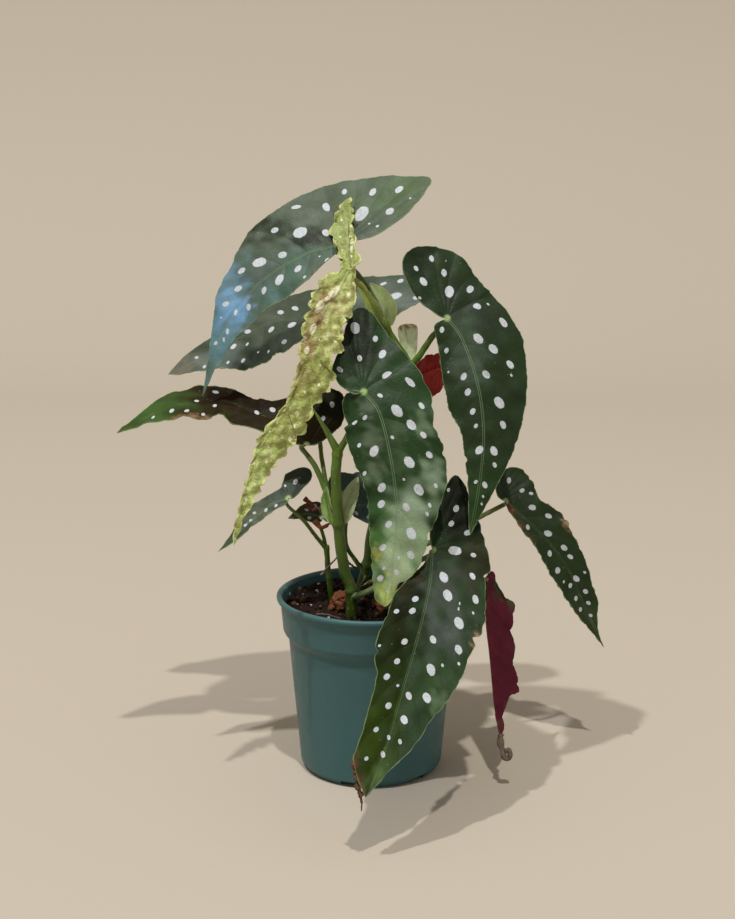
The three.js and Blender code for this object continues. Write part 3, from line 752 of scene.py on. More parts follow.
def relief(shape, flat, half, share, reach, away, seed):
    """How far the blade rises: waves along the margin, and puckers between the veins."""
    fade = np.sqrt(np.sin(np.pi * np.clip(share, 0, 1)))
    wave = np.sin(2 * np.pi * share * shape["waves"] + half) * fade
    inner = smoothstep(0, 0.25, reach) * 0.7 + 0.3
    pucker = 1 - np.exp(-((away / 2.2) ** 2))
    swell = 0.9 * ripple(flat[:, 0], flat[:, 1], shape.get("grain", 13), seed + 2)
    return shape["wave_height"] * wave * reach**2 + shape.get("puff", 0.38) * (pucker + swell) * inner


def blade(name, shape, grid, materials, seed, thickness=BLADE_THICKNESS, replaced=()):
    """A leaf's blade: upper and lower faces of one grid of ribs, joined round the margin."""
    leaf = Leaf(shape)
    still = np.zeros(grid[1] + 1)
    midrib = np.stack([midrib_rows(leaf, grid[1]), still], 1), still, still, still
    big, small = (ribs_of(leaf, side, grid, seed) for side in (1, -1))
    flat, share, reach, curl = (np.concatenate(x) for x in zip(midrib, big, small))
    half = np.ones(len(flat))
    half[-len(small[1]):] = -1

    signed, guard, strength = nearest_line(flat, leaf.veins())
    lift = relief(shape, flat, half, share, reach, guard + VEIN_REACH, seed) + curl
    points = np.empty((len(flat), 3))
    for side in (1, -1):
        pick = half == side
        points[pick] = leaf.place(flat[pick, 0], flat[pick, 1], side, lift[pick])

    sheet, rim = sheet_faces(leaf, grid)
    normals = vertex_normals(points, sheet)
    ridge = np.exp(-((flat[:, 1] / 1.1) ** 2)) * np.clip(1 - flat[:, 0] / leaf.length, 0, 1)
    ridge = np.where(flat[:, 0] < 0, 0, ridge * shape.get("ridge", 0.9))
    upper = points + normals * thickness / 2
    lower = points - normals * (thickness / 2 + ridge)[:, None]
    n = len(flat)
    faces = sheet + [[k + n for k in reversed(f)] for f in sheet] + [[a, a + n, b + n, b] for a, b in rim]
    which = [0] * len(sheet) + [1] * len(sheet) + [0] * len(rim)

    outline = np.vstack([leaf.runs[1].points[::6], leaf.runs[-1].points[::-6]])
    edge = np.where(reach > 0.999, 0, np.abs(nearest_line(flat, [(outline, 1.0)])[0]))
    spots = list(shape.get("spots", ()))
    if "strewn" in shape or not spots:
        spots = scattered_spots(leaf, *shape.get("strewn", (24, 0.9, 1.8)), seed, spots)
    fields = {
        "flat": np.stack([flat[:, 0], flat[:, 1], edge], 1),
        "vein": np.stack([signed, guard, strength], 1),
        "spot": spot_field(flat, spots),
        "under": blend_tones(flat, shape.get("under", (96, 30, 44)), shape.get("under_patches", ())),
    }
    fields = {key: np.tile(values, (2, 1)) for key, values in fields.items()}
    tones = np.tile(blend_tones(flat, shape.get("tone", (40, 62, 40)), shape.get("patches", ())), (2, 1))
    return new_piece(name, np.vstack([upper, lower]), faces, materials, which, tones, fields,
                     replaced)


def vertex_normals(points, faces):
    normals = np.zeros_like(points)
    for size in (3, 4):
        some = np.array([f for f in faces if len(f) == size], int)
        if len(some):
            corners = points[some]
            across = np.cross(corners[:, 2] - corners[:, 0], corners[:, size - 1] - corners[:, 1])
            for k in range(size):
                np.add.at(normals, some[:, k], across)
    long = np.linalg.norm(normals, axis=1, keepdims=True)
    return normals / np.where(long > 1e-12, long, 1)


# The outline of a leaf of 119 mm, for the leaves that are mostly hidden.
PLAIN_LENGTH = 119
PLAIN_BIG = [[-3, -3], [-14, -7], [-27, -7], [-38, -2], [-40, 8], [-33, 21], [-20, 29], [0, 29],
             [22, 32], [42, 29], [60, 23], [78, 16], [98, 8]]
PLAIN_SMALL = [[-1, -7], [5, -12], [15, -15], [32, -17], [50, -17], [66, -13], [85, -8], [104, -4]]


def plain_outline(length, width_scale):
    """That outline for a leaf of another length, and wider or narrower."""
    k = length / PLAIN_LENGTH
    return {
        "big": [[s * k, t * k * width_scale] for s, t in PLAIN_BIG],
        "small": [[s * k, t * k * width_scale] for s, t in PLAIN_SMALL],
    }


# midrib: places in space, from the stalk to the tip.
# face: the way the upper face looks, at the base and at the tip.
# fold: how many degrees the big half and the small half rise, at the base and at the tip.
# hand: the side of the big half. droop, waves and wave_height: how the blade bends away from flat.
# big and small: the outlines of the halves. scallop: height and length of the margin's scallops.
# spots: place and radius, and where it isn't the usual one, how long and which way it lies.
# strewn: how many spots in all, with the others strewn, and their least and greatest radius.
# tone and under: the colours of the two faces; on two leaves the tone also holds painted shade and painted
# light, as noted there. patches and under_patches: place, radius and colour; besides the leaves' own
# colours, some patches are painted sheen and painted shade, as noted at each leaf.
# bites: place, depth and width. ragged and ruffle: how rough and how curled the margin is.
# puff and grain: how high and how long the puckers are. spine: how strongly the midrib shows.
# lobe: the far end of the middle line of a long narrow lobe.
LEAVES = {
    "leaf_top": dict(
        midrib=[[-18, -8, 293], [-37, -6, 287], [-61, -4, 271], [-80, -4, 245], [-91, -2, 211]],
        face=[[0, -0.62, 0.78], [-0.45, -0.75, 0.5]],
        hand=-1, fold=[[10, -4], [6, 2]], droop=0.1, waves=5, wave_height=0.6,
        big=[[-11, -1], [-21, -1], [-39, 6], [-51, 16], [-56, 24], [-48, 30], [-27, 37], [-7, 41], [5, 43],
             [19, 36], [38, 31], [50, 22], [64, 16], [74, 10], [89, 4], [105, 2]],
        small=[[2, -6], [11, -12], [23, -17], [40, -18], [58, -15], [79, -10], [97, -5], [107, -2]],
        spots=[[-9, 33, 1.4], [-24, 27, 1.8], [-38, 24, 1.9], [16, 31, 1.4], [3, 27, 2.5], [-16, 15, 3.4],
               [-31, 11, 1.8], [-19, 7, 0.5], [-23, 4, 0.7], [-43, 15, 0.5], [28, 23, 1.6],
               [17, 14, 2.8, 1.05, 1.5], [5, 9, 1.9], [41, 10, 2.7], [29, 6, 1.9], [50, 13, 1.6],
               [57, 7, 1.7], [47, -6, 1.7], [36, -7, 2.4], [24, -7, 1.8], [6, -9, 1.2], [22, -14, 0.8],
               [60, -6, 1.4], [67, 7, 1.4], [67, -1, 1.3], [74, 5, 0.5], [78, -3, 1.2], [83, -3, 1.0],
               [87, 1, 1.0], [10, -5, 0.5]],
        tone=(74, 84, 68), scallop=(0.4, 14),
        # The blue and grey-blue patches towards the tip and the grey patch in the middle are painted sheen;
        # the dark patches near the upper margin and by the sinus are painted shade under a fold.
        patches=[(34, -12, 36, (70, 92, 78)), (-36, 21, 26, (74, 92, 60)), (88, 0, 34, (86, 120, 126)),
                 (66, 4, 14, (102, 140, 168)), (58, 18, 10, (88, 118, 132)), (66, -3, 9, (104, 142, 176)),
                 (44, 2, 12, (72, 84, 76)), (37, 34, 12, (24, 32, 10)), (28, 22, 10, (38, 48, 28)),
                 (16, 11, 10, (38, 48, 30)), (4, 3, 8, (50, 62, 44)), (12, 8, 7, (22, 30, 10))]),
    "leaf_upper_back": dict(
        midrib=[[-23, 55, 247], [-40, 57, 245], [-58, 59, 242], [-78, 59, 232], [-97, 57, 222],
                [-116, 55, 213]],
        face=[[0, -0.62, 0.8], [-0.1, -0.62, 0.8]],
        hand=-1, fold=[[2, 2], [2, 2]], droop=0.15, waves=6, wave_height=0.8,
        big=[[-9, -7], [-22, -7], [-37, -6], [-49, 3], [-55, 9], [-52, 19], [-41, 27], [-18, 29], [10, 23],
             [36, 16], [50, 14], [70, 10], [84, 9], [94, 4]],
        small=[[4, -11], [16, -19], [31, -25], [46, -25], [57, -25], [67, -18], [80, -10], [93, -5]],
        spots=[[21, 8, 1.7], [29, 6, 1.4], [22, -5, 2.0], [35, -6, 1.7], [49, 1, 1.5], [60, -4, 1.6],
               [52, -8, 0.9], [48, -17, 0.6], [41, -20, 0.9], [26, -17, 1.5], [67, -13, 0.9],
               [58, -17, 1.2], [82, 2, 0.9], [80, -7, 0.9], [-30, 21, 1.5], [-40, 21, 1.5],
               [-37, 10, 2.9], [-49, 7, 1.4], [-36, -4, 0.8], [4, 14, 1.6], [-6, 4, 1.8], [8, -8, 1.2]],
        # Its greyish tone and pale grey patches are partly the old leaf's own grey and partly painted
        # sheen.
        tone=(64, 72, 58), scallop=(0.6, 10), spine=0.3,
        patches=[(-32, 5, 26, (92, 102, 92)), (53, -19, 16, (42, 50, 38)), (74, -6, 18, (88, 100, 92)),
                 (40, 8, 14, (78, 84, 70)), (93, 0, 14, (98, 96, 82))]),
    "leaf_left": dict(
        midrib=[[-35, -6, 185], [-47, -4, 196], [-63, 0, 202], [-85, 3, 208], [-109, -4, 205],
                [-136, -15, 194]],
        face=[[0.15, -0.75, 0.65], [-0.1, -0.25, 1]],
        hand=-1, fold=[[4, 4], [0, 0]], droop=0.05, waves=5, wave_height=0.8,
        big=[[-4, 5], [-6, 16], [-6, 24], [-1, 33], [8, 37], [15, 30], [24, 14], [36, 9], [50, 9], [61, 12],
             [73, 12], [86, 10], [97, 6], [107, 3]],
        small=[[4, -4], [10, -8], [26, -11], [41, -13], [51, -11], [65, -16], [81, -12], [95, -7],
               [107, -4]],
        spots=[[93, -3, 0.9], [82, -3, 1.2], [75, -8, 1.2], [67, 0, 1.0], [66, -12, 1.1], [57, 6, 1.2],
               [57, -5, 1.1], [33, 0, 1.2], [26, 5, 1.4], [6, 28, 1.4], [4, 18, 1.3]],
        # Its dark brown tone and dark patches are partly the leaf's own reddish colour and partly painted
        # shade; the green patch at the tip is the leaf's green where it is lit.
        tone=(34, 26, 8), under=(160, 92, 74), spine=0.1,
        patches=[(100, 0, 36, (56, 80, 34)), (76, 6, 12, (50, 68, 28)), (8, 28, 18, (28, 30, 16)),
                 (58, 4, 15, (32, 20, 2)), (64, -15, 4, (122, 86, 62)), (73, -13, 4, (126, 92, 66)),
                 (82, -11, 4, (116, 88, 60))]),
    "leaf_young": dict(
        midrib=[[-11, -22, 282], [-17, -30, 271], [-29, -40, 253], [-35, -47, 231], [-44, -52, 212],
                [-58, -56, 191], [-66, -59, 167], [-71, -60, 144]],
        face=[[0.1, -1, 0.35], [0, -1, 0.3]],
        hand=-1, fold=[[-10, -10], [-10, -10]], droop=0.5, waves=9, wave_height=0.7,
        big=[[-7, -3], [-13, 3], [-19, 5], [-24, 9], [-34, 13], [-39, 17], [-37, 20], [-25, 20], [-16, 18],
             [-9, 12], [-2, 6], [4, 5], [8, 10], [22, 11], [35, 7], [57, 4], [80, 2], [100, 4], [118, 1],
             [141, 1], [151, 1.5]],
        small=[[-3, -2], [5, -5], [19, -12], [25, -11], [43, -17], [52, -12], [60, -16], [75, -12],
               [86, -13], [107, -11], [127, -7], [144, -3], [154, -1]],
        tone=(146, 154, 82), under=(140, 138, 76), puff=0.9, grain=6, ragged=1.4, strewn=(48, 0.5, 1.1),
        scallop=(2.6, 7.5), ruffle=2.6, lobe=[-38, 18],
        spots=[(16, 2, 2.6, 1.6, 0.1), (27, 4, 2.2, 1.5, 0), (39, 1, 1.8, 1.4, 0), (50, 1, 1.4, 1.3, 0)],
        patches=[(-24, 12, 26, (136, 148, 82)), (24, -9, 16, (180, 184, 118)),
                 (40, -13, 14, (178, 182, 112)), (22, 4, 8, (134, 108, 68)), (34, 2, 8, (130, 104, 66)),
                 (48, 1, 8, (134, 112, 68)), (64, 0, 8, (134, 126, 70)), (130, -4, 28, (164, 176, 104)),
                 (22, 11, 7, (120, 124, 60)), (36, 9, 7, (122, 128, 62))]),
    "leaf_centre": dict(
        midrib=[[-4, -36, 220], [4, -41, 210], [10, -48, 187], [13, -53, 161], [11, -55, 135],
                [7, -54, 109]],
        face=[[-0.05, -1, 0.3], [-0.1, -1, 0.25]],
        hand=1, fold=[[-10, -12], [-8, -6]], droop=0.15, waves=7, wave_height=0.7,
        big=[[-2, -5], [-11, -8], [-20, -6], [-25, 2], [-35, 14], [-40, 24], [-34, 29], [-19, 29],
             [-5, 30], [12, 29], [27, 26], [38, 28], [54, 27], [63, 23], [77, 18], [90, 15], [98, 12],
             [105, 5], [114, 3]],
        small=[[-4, -5], [-5, -9], [0, -15], [10, -19], [22, -21], [35, -20], [52, -16], [70, -15],
               [85, -13], [100, -10], [114, -6]],
        spots=[[-31, 17, 2.4], [-20, 22, 1.3], [-16, 9, 1.3], [-11, 20, 1.9], [0, 15, 2.1],
               [-17, -3, 1.4], [9, 22, 1.4], [17, 22, 1.2], [7, 5, 1.0], [16, 9, 2.4], [24, 14, 2.1],
               [30, 19, 1.4], [13, -14, 1.5], [13, -8, 1.3], [28, 3, 0.8], [28, -15, 1.0], [33, -8, 2.3],
               [42, 9, 2.4], [40, 20, 1.5], [44, -15, 1.0], [50, 5, 0.6], [55, 21, 0.9], [53, -7, 2.0],
               [56, 12, 2.3], [62, -8, 1.8], [64, 5, 1.7], [63.6, 17.2, 0.85], [67.4, 15.8, 0.85],
               [73, -4, 1.6], [77, 8, 2.3], [86, -6, 1.6], [88, 9, 1.7], [90, 3, 0.7], [97, -4, 0.8],
               [103, -5, 1.5], [109, 0, 0.9], [98, 3, 1.3]],
        tone=(30, 54, 22), scallop=(0.9, 8.5), ruffle=1.0,
        bites=[(27, 27, 1.2, 1.8), (41, 27, 1.0, 1.4), (77, 18, 1.6, 2.0), (102, 4, 1.6, 2.4),
               (60, -14, 1.4, 1.8), (95, -10, 1.0, 1.5)],
        # The pale grey-green patches along the midrib and down to the tip are painted sheen, partly over a
        # pale film that the leaf has.
        patches=[(-30, 12, 24, (18, 26, 6)), (92, 0, 34, (64, 100, 46)), (8, -4, 7, (78, 88, 70)),
                 (27, -8, 9, (78, 90, 68)), (44, -9, 8, (80, 92, 70)), (26, 5, 8, (50, 68, 42)),
                 (40, 4, 9, (48, 68, 38)), (25, 20, 8, (78, 96, 68)), (51, 20, 10, (106, 124, 98)),
                 (70, 7, 17, (126, 144, 120)), (84, 6, 20, (128, 148, 114)), (96, 2, 14, (154, 172, 134)),
                 (90, -9, 5, (140, 148, 74)), (113, 0, 10, (176, 194, 110))]),
    "leaf_right": dict(
        midrib=[[40, -12, 255], [48, -15, 244], [56, -22, 221], [59, -28, 197], [57, -34, 172],
                [52, -40, 144]],
        face=[[0.1, -1, 0.35], [0.05, -1, 0.25]],
        hand=1, fold=[[-12, -10], [-12, -8]], droop=0.2, waves=6, wave_height=0.5,
        big=[[-3, -3], [-14, -7], [-27, -7], [-38, -2], [-41, 8], [-35, 19], [-24, 28], [-8, 29], [11, 31],
             [23, 33], [46, 27], [63, 21], [76, 16], [96, 8], [113, 2]],
        small=[[-1, -7], [4, -11], [15, -14], [32, -17], [50, -17], [64, -12], [76, -10], [93, -6],
               [113, -2]],
        spots=[[-31, 13, 1.4], [-31, 2, 1.2], [-21, 14, 1.6], [-23, 1, 1.9], [-11, 10, 2.5],
               [-6, 21, 1.8], [5, 18, 1.6], [-17, -6, 0.7], [-26, 19, 0.5], [7, 24, 0.5], [14, 26, 1.6],
               [3, -6, 1.2], [16, -10, 1.2], [28, -13, 0.5], [16.5, 8.5, 2.2], [23.5, 14.5, 2.1],
               [33, 21, 1.7], [38, 20, 0.6], [35, 6, 1.8], [33, -6, 1.6], [42, -6, 1.6], [53, -5, 1.4],
               [61, -4, 1.0], [50, 10, 2.4], [61, 11, 1.6], [74, 6, 1.9], [74, -2, 1.9], [81, 7, 1.1],
               [92, 3, 1.4], [91, -2, 0.9], [98, 3, 0.6], [102, 3, 0.6]],
        tone=(30, 46, 20), scallop=(0.5, 10), bites=[(8, 31, 0.8, 1.5), (80, -9, 0.9, 1.5)],
        # The lighter grey-green patches beside the midrib are painted sheen.
        patches=[(-34, 5, 12, (20, 34, 8)), (4, 14, 16, (36, 48, 32)), (14, 4, 12, (56, 70, 52)),
                 (28, -1, 14, (60, 74, 58)), (34, 18, 12, (30, 44, 18)), (104, 0, 24, (30, 52, 16))]),
    "leaf_lower_front": dict(
        midrib=[[32, -43, 137], [30, -56, 120], [23, -76, 98], [15, -95, 77], [7, -113, 56],
                [-3, -128, 35]],
        face=[[0.2, -1, 0.8], [0.2, -0.8, 0.8]],
        hand=1, fold=[[2, -8], [4, 34]], droop=0.15, waves=6, wave_height=0.7,
        big=[[-8, -2], [-20, -2], [-34, 3], [-44, 9], [-37, 16], [-11, 27], [-5, 29], [6, 32], [13, 29],
             [24, 31], [35, 32], [49, 29], [65, 27], [82, 22], [91, 18], [105, 14], [119, 7], [130, 3]],
        small=[[8, -4], [18, -11], [30, -17], [42, -18], [55, -20], [69, -19], [81, -15], [100, -15],
               [115, -15], [124, -15], [132, -8]],
        spots=[[-1, 12, 2.6], [0, 22, 1.2], [12, 22, 1.4], [-25, 11, 1.6], [-16, 9, 1.4], [-12, 18, 1.5],
               [-35, 6, 0.9], [14.6, 6.8, 2.2], [23.4, 10.2, 2.3], [26, 17, 0.4], [29, 17.2, 0.5],
               [22, 25, 1.6], [36, 19, 2.5], [49, 8, 1.7], [50, 22, 1.9], [65, 11, 2.3], [61, 16, 0.7],
               [57, 24, 0.7], [82, 4, 1.6], [80, 13, 2.1], [95, 5, 1.8], [91, -5, 1.5], [79, -3, 0.7],
               [77, -10, 1.5], [67, -7, 1.4], [55, -6, 1.5], [37, -6, 1.5], [30, -6, 1.5], [40, -14, 1.2],
               [62, -18, 0.7], [105, -8, 1.3], [106, 0, 1.0], [106, 6, 1.0], [115, 0, 1.3],
               [121, -8, 1.0], [29, 25, 0.6]],
        tone=(38, 54, 32), scallop=(0.7, 9), ruffle=0.7, spine=0.5,
        bites=[(42, 31, 3.2, 2.0), (11, 30, 1.0, 1.8), (66, -19, 1.6, 2.0)],
        # The dark patch on the basal lobe is a painted shadow; the dark patches on the small half are the
        # leaf's own olive-brown with painted shade; the grey patches beside the midrib on the big half are
        # painted sheen.
        patches=[(-30, 12, 26, (16, 20, 8)), (3, 25, 16, (42, 42, 26)), (19, -14, 14, (46, 32, 10)),
                 (38, -12, 20, (19, 24, 2)), (62, -12, 22, (22, 29, 3)), (92, -10, 22, (36, 50, 12)),
                 (115, -8, 20, (46, 62, 14)), (22, 8, 16, (56, 62, 54)), (42, 15, 16, (62, 70, 62)),
                 (75, 16, 16, (42, 62, 32)), (80, 20, 8, (72, 90, 62)), (128, 2, 11, (62, 80, 40)),
                 (42, 32, 6, (150, 116, 92)), (122, -16, 4, (92, 62, 46)), (127, -13, 4, (88, 60, 46)),
                 (132, -8, 4, (84, 58, 46)), (137, -4, 4, (92, 66, 50))]),
    "leaf_far_right": dict(
        midrib=[[76, 28, 145], [85, 27, 137], [98, 25, 125], [111, 23, 108], [121, 21, 86], [133, 20, 61]],
        face=[[0.25, -1, 0.6], [0.2, -1, 0.5]],
        hand=1, fold=[[0, 0], [0, 0]], droop=0.1, waves=6, wave_height=0.6,
        big=[[-5, -1], [-9, 2], [-12, 10], [-10, 18], [-3, 22], [6, 20], [15, 15], [28, 18], [37, 15],
             [49, 13], [64, 10], [78, 9], [86, 4], [95, 1]],
        small=[[4, -3], [10, -4], [19, -7], [29, -8], [49, -11], [70, -8], [84, -5], [95, -2]],
        spots=[[-6, 11, 1.4], [3.6, 11.8, 1.2], [8.6, 14.2, 1.0], [14, 8, 1.7], [24, 11, 1.5],
               [19, -3, 1.2], [30, 3, 1.8], [42, 5, 1.6], [48, 5, 1.3], [39, -4, 1.4], [50, -6, 1.5],
               [60, 2, 1.7], [59, 8, 0.7], [58, -6, 0.7], [62, -3, 1.1], [69, 4, 1.3], [70, -3, 1.1],
               [76, 3, 1.1], [77, -3, 1.0], [83, 1, 0.9]],
        tone=(30, 46, 16), scallop=(0.7, 7), spine=0.25, bites=[(30, 16, 2.4, 1.6)],
        patches=[(0, 10, 12, (40, 50, 30)), (84, -3, 18, (42, 52, 26)), (34, 16, 4, (150, 118, 90)),
                 (4, -3, 5, (112, 62, 44)), (14, -6, 4, (104, 62, 42)), (24, -8, 4, (84, 60, 38))]),
    "leaf_hanging": dict(
        midrib=[[64, 3, 108], [64, -3, 86], [66, -13, 65], [68, -26, 41], [72, -37, 18]],
        face=[[0.35, 0.93, 0.1], [0.35, 0.93, 0]],
        hand=-1, fold=[[66, 75], [60, 72]], droop=0, waves=5, wave_height=0.8,
        big=[[-3, 4], [8, 13], [17, 22], [26, 21], [33, 17], [45, 17], [58, 19], [67, 12], [79, 4],
             [92, 1]],
        small=[[2, -6], [12, -13], [28, -16], [48, -15], [66, -11], [81, -4], [94, -1]],
        tone=(34, 50, 28), under=(72, 9, 27), scallop=(2.2, 12), ruffle=3.0,
        bites=[(48, 12, 3.0, 2.5), (26, 18, 1.2, 1.5)],
        under_patches=[(6, 11, 7, (44, 60, 34)), (14, 20, 5, (44, 60, 34)), (97, 0, 14, (96, 78, 58))],
        patches=[(96, 0, 16, (92, 72, 52))]),
    "leaf_small_left": dict(
        midrib=[[-45, -8, 156], [-54, -10, 153], [-66, -12, 144], [-74, -14, 136], [-83, -16, 128]],
        face=[[0, -0.75, 0.8], [-0.1, -0.8, 0.7]],
        hand=-1, fold=[[0, 0], [0, 0]], droop=0.1, waves=4, wave_height=0.3,
        big=[[-3, -1], [-10, 3], [-16, 7], [-17, 13], [-12, 16], [-4, 15], [1, 9], [6, 6], [20, 7], [29, 5],
             [40, 2]],
        small=[[2, -3], [8, -4], [18, -4], [31, -3], [41, -1.5]],
        spots=[[-7, 8, 1.3], [-1, 8, 0.6], [28, 0, 0.8], [24, 0, 0.7], [20, 2, 0.8], [14, -1, 0.9],
               [8, -2, 0.8]],
        tone=(46, 58, 44), puff=0.2, ragged=0.6, scallop=(0.3, 6), ruffle=0.3,
        patches=[(20, 0, 12, (78, 84, 66))]),
    "leaf_small_low": dict(
        midrib=[[-27, 4, 142], [-36, 3, 144], [-46, 2, 142]],
        face=[[0, -0.8, 0.6], [0, -0.8, 0.6]],
        hand=-1, fold=[[5, 5], [5, 5]], droop=0, waves=3, wave_height=0.2,
        tone=(58, 62, 30), puff=0.2, ragged=0.5, scallop=(0.2, 5), ruffle=0.2, strewn=(7, 0.6, 1.0),
        **plain_outline(20, 1.5)),
    "leaf_middle_back": dict(
        midrib=[[-11, 20, 145], [0, 24, 143], [19, 28, 138], [35, 30, 131]],
        face=[[0, -0.85, 0.5], [0, -0.85, 0.5]],
        hand=1, fold=[[4, 4], [4, 4]], droop=0.1, waves=4, wave_height=0.4,
        # Its tone is painted paler than the leaf's own green: painted light on a leaf that lies in shade.
        tone=(66, 84, 78), puff=0.25, scallop=(0.4, 7), strewn=(16, 0.9, 2.0), **plain_outline(50, 1.5)),
    "leaf_back_right": dict(
        midrib=[[22, 14, 218], [34, 20, 222], [46, 26, 225], [60, 33, 227]],
        face=[[-0.1, 0.9, 0.35], [-0.1, 0.9, 0.35]],
        hand=1, fold=[[4, 4], [4, 4]], droop=0.2, waves=4, wave_height=0.6,
        tone=(40, 58, 36), under=(150, 38, 32), puff=0.3, ragged=1.5, strewn=(14, 0.8, 1.8),
        **plain_outline(43.5, 1.5)),
}


def stalk_end(name):
    """The last points of a stalk, up to the underside of its leaf at the sinus."""
    _, origin, _, normal, _ = Leaf(LEAVES[name]).frame(np.array([1.2]))
    end = origin[0] - normal[0] * 0.3
    return [(end - normal[0] * STALK_RUN_IN).tolist(), end.tolist()]


# Stems

# Stems, scales and shreds

def tube(points, radii, sides, step=0.9, nodes=(), wobble=0.06, seed=1):
    """A round stem along a curve: points and faces. nodes are (share, swelling, width in mm)."""
    run = Run(points, power=0.5)
    count = max(6, int(run.length / step))
    share = np.linspace(0, 1, count)
    centre = run.at(share)
    tangent = run.tangent(share)
    radius = radii[0] + (radii[1] - radii[0]) * share
    for at, swelling, width in nodes:
        radius = radius + swelling * np.exp(-(((share - at) * run.length / width) ** 2))
    side = np.cross(tangent[0], [0.3, 1, 0.2])
    sides_of = []
    for k in range(count):
        side = side - tangent[k] * np.dot(side, tangent[k])
        side = side / np.linalg.norm(side)
        sides_of.append(side)
    normal = np.array(sides_of)
    other = np.cross(tangent, normal)
    angle = np.linspace(0, 2 * np.pi, sides, endpoint=False)
    ring = normal[:, None] * np.cos(angle)[None, :, None] + other[:, None] * np.sin(angle)[None, :, None]
    uneven = 1 + wobble * ripple(share[:, None] * run.length, angle[None] * radii[0], 4 * radii[0], seed)
    grid = centre[:, None] + ring * (radius[:, None] * uneven)[..., None]
    out = np.vstack([grid.reshape(-1, 3), centre[:1], centre[-1:] + tangent[-1:] * radii[1] * 0.4])
    faces = []
    for i in range(count - 1):
        for j in range(sides):
            a, b = i * sides + j, i * sides + (j + 1) % sides
            faces.append([a, b, b + sides, a + sides])
    low, high, last = count * sides, count * sides + 1, (count - 1) * sides
    for j in range(sides):
        faces.append([(j + 1) % sides, j, low])
        faces.append([last + j, last + (j + 1) % sides, high])
    shares = np.concatenate([np.repeat(share, sides), [0, 1]])
    return out, faces, shares


CANE_LOW = (46, 64, 14)
CANE_HIGH = (78, 104, 28)
PETIOLE = (84, 106, 44)
PETIOLE_PALE = (104, 126, 84)
FOOT_NODE = [(0.02, 0.6, 2)]

# For each stem its cane and then its stalks: the path, the leaf that it leads to, the radii and the
# colours at its two ends, and its nodes.
STEMS = {
    "cane_front": [
        ([[-11, -14, 76], [-11, -14, 90], [-11, -15, 106], [-14, -15, 115],
          [-16, -16, 126], [-18, -17, 147], [-19, -18, 170], [-18, -18, 186]],
         None, [3.3, 2.7], CANE_LOW, CANE_HIGH, [(0.27, 0.5, 1.6), (0.62, 0.6, 1.8), (0.97, 0.5, 1.8)]),
        ([[-18, -18, 184], [-23, -19, 194], [-31, -20, 208]],
         None, [2.4, 0.4], CANE_HIGH, (110, 130, 60), []),
        ([[-20, -17, 144], [-24, -12, 159], [-31, -5, 174]],
         "leaf_left", [1.8, 1.3], CANE_HIGH, PETIOLE, FOOT_NODE),
        ([[-19, -16, 144], [-23, -9, 157], [-26, -1, 170], [-28, 9, 182], [-29, 32, 209], [-26, 48, 233]],
         "leaf_upper_back", [1.3, 1.1], CANE_HIGH, PETIOLE, []),
        ([[-18, -18, 184], [-14, -18, 190], [-8, -21, 204]],
         "leaf_centre", [1.8, 1.3], CANE_HIGH, PETIOLE, FOOT_NODE),
        ([[-11, -15, 103], [-6, -20, 105], [2, -27, 111], [18, -34, 125]],
         "leaf_lower_front", [1.8, 1.4], PETIOLE_PALE, PETIOLE_PALE, FOOT_NODE),
    ],
    "cane_back": [
        ([[-7, 12, 76], [-7, 12, 92], [-5, 13, 102], [-2, 13, 114], [0, 12, 130], [5, 9, 151],
          [11, 5, 180], [17, 2, 208], [20, 0, 227], [12, -2, 241], [6, -4, 251]],
         None, [3, 2.2], CANE_LOW, CANE_HIGH,
         [(0.2, 0.5, 1.6), (0.45, 0.5, 1.8), (0.84, 0.7, 2), (0.98, 0.7, 2)]),
        ([[19, 0, 225], [25, -1, 232], [33, -2, 244]],
         "leaf_right", [1.9, 1.4], CANE_HIGH, PETIOLE, FOOT_NODE),
        ([[8, -4, 249], [2, -7, 256], [-5, -12, 272]],
         "leaf_young", [1.8, 1.4], CANE_HIGH, (150, 150, 80), FOOT_NODE),
        ([[8, -4, 249], [3, 1, 259], [-5, 4, 273]],
         "leaf_top", [1.8, 1.4], CANE_HIGH, PETIOLE, FOOT_NODE),
        ([[-2, 13, 112], [16, 14, 118], [38, 18, 126], [59, 23, 136]],
         "leaf_far_right", [1.6, 1.3], PETIOLE, (92, 98, 50), []),
        ([[-5, 13, 101], [16, 12, 106], [44, 5, 110], [57, -2, 110]],
         "leaf_hanging", [1.6, 1.3], PETIOLE, (110, 90, 56), []),
        ([[19, 0, 225], [22, 3, 220]],
         "leaf_back_right", [1.6, 1.3], CANE_HIGH, (130, 80, 50), []),
        ([[-3, 13, 106], [-9, 16, 114], [-14, 19, 122], [-14, 24, 136]],
         "leaf_middle_back", [1.3, 1.1], CANE_HIGH, PETIOLE, []),
    ],
    "stem_small": [
        ([[-22, 8, 78], [-22, 8, 92], [-23, 8, 100], [-24, 8, 110], [-25, 7, 125]],
         None, [1.7, 1.5], CANE_LOW, CANE_HIGH, [(0.6, 0.3, 1.2), (0.97, 0.3, 1.2)]),
        ([[-25, 7, 123], [-31, 3, 132], [-37, -3, 142]],
         "leaf_small_left", [1.2, 0.9], CANE_HIGH, PETIOLE, []),
        ([[-25, 7, 123], [-27, 7, 132]],
         "leaf_small_low", [1.1, 0.9], CANE_HIGH, PETIOLE, []),
    ],
}


def stem(name, skin):
    """A cane with its stalks as one piece."""
    soup = Soup()
    for path, leaf, radii, low, high, nodes in STEMS[name]:
        sides = CANE_SIDES if radii[0] > THICK_STEM else STALK_SIDES
        points, faces, share = tube(path + (stalk_end(leaf) if leaf else []), radii, sides, nodes=nodes)
        low, high = linear(low), linear(high)
        soup.add(points, faces, low + (high - low) * share[:, None])
    return soup.piece(f"{name}_skin", skin, "stem", [name])


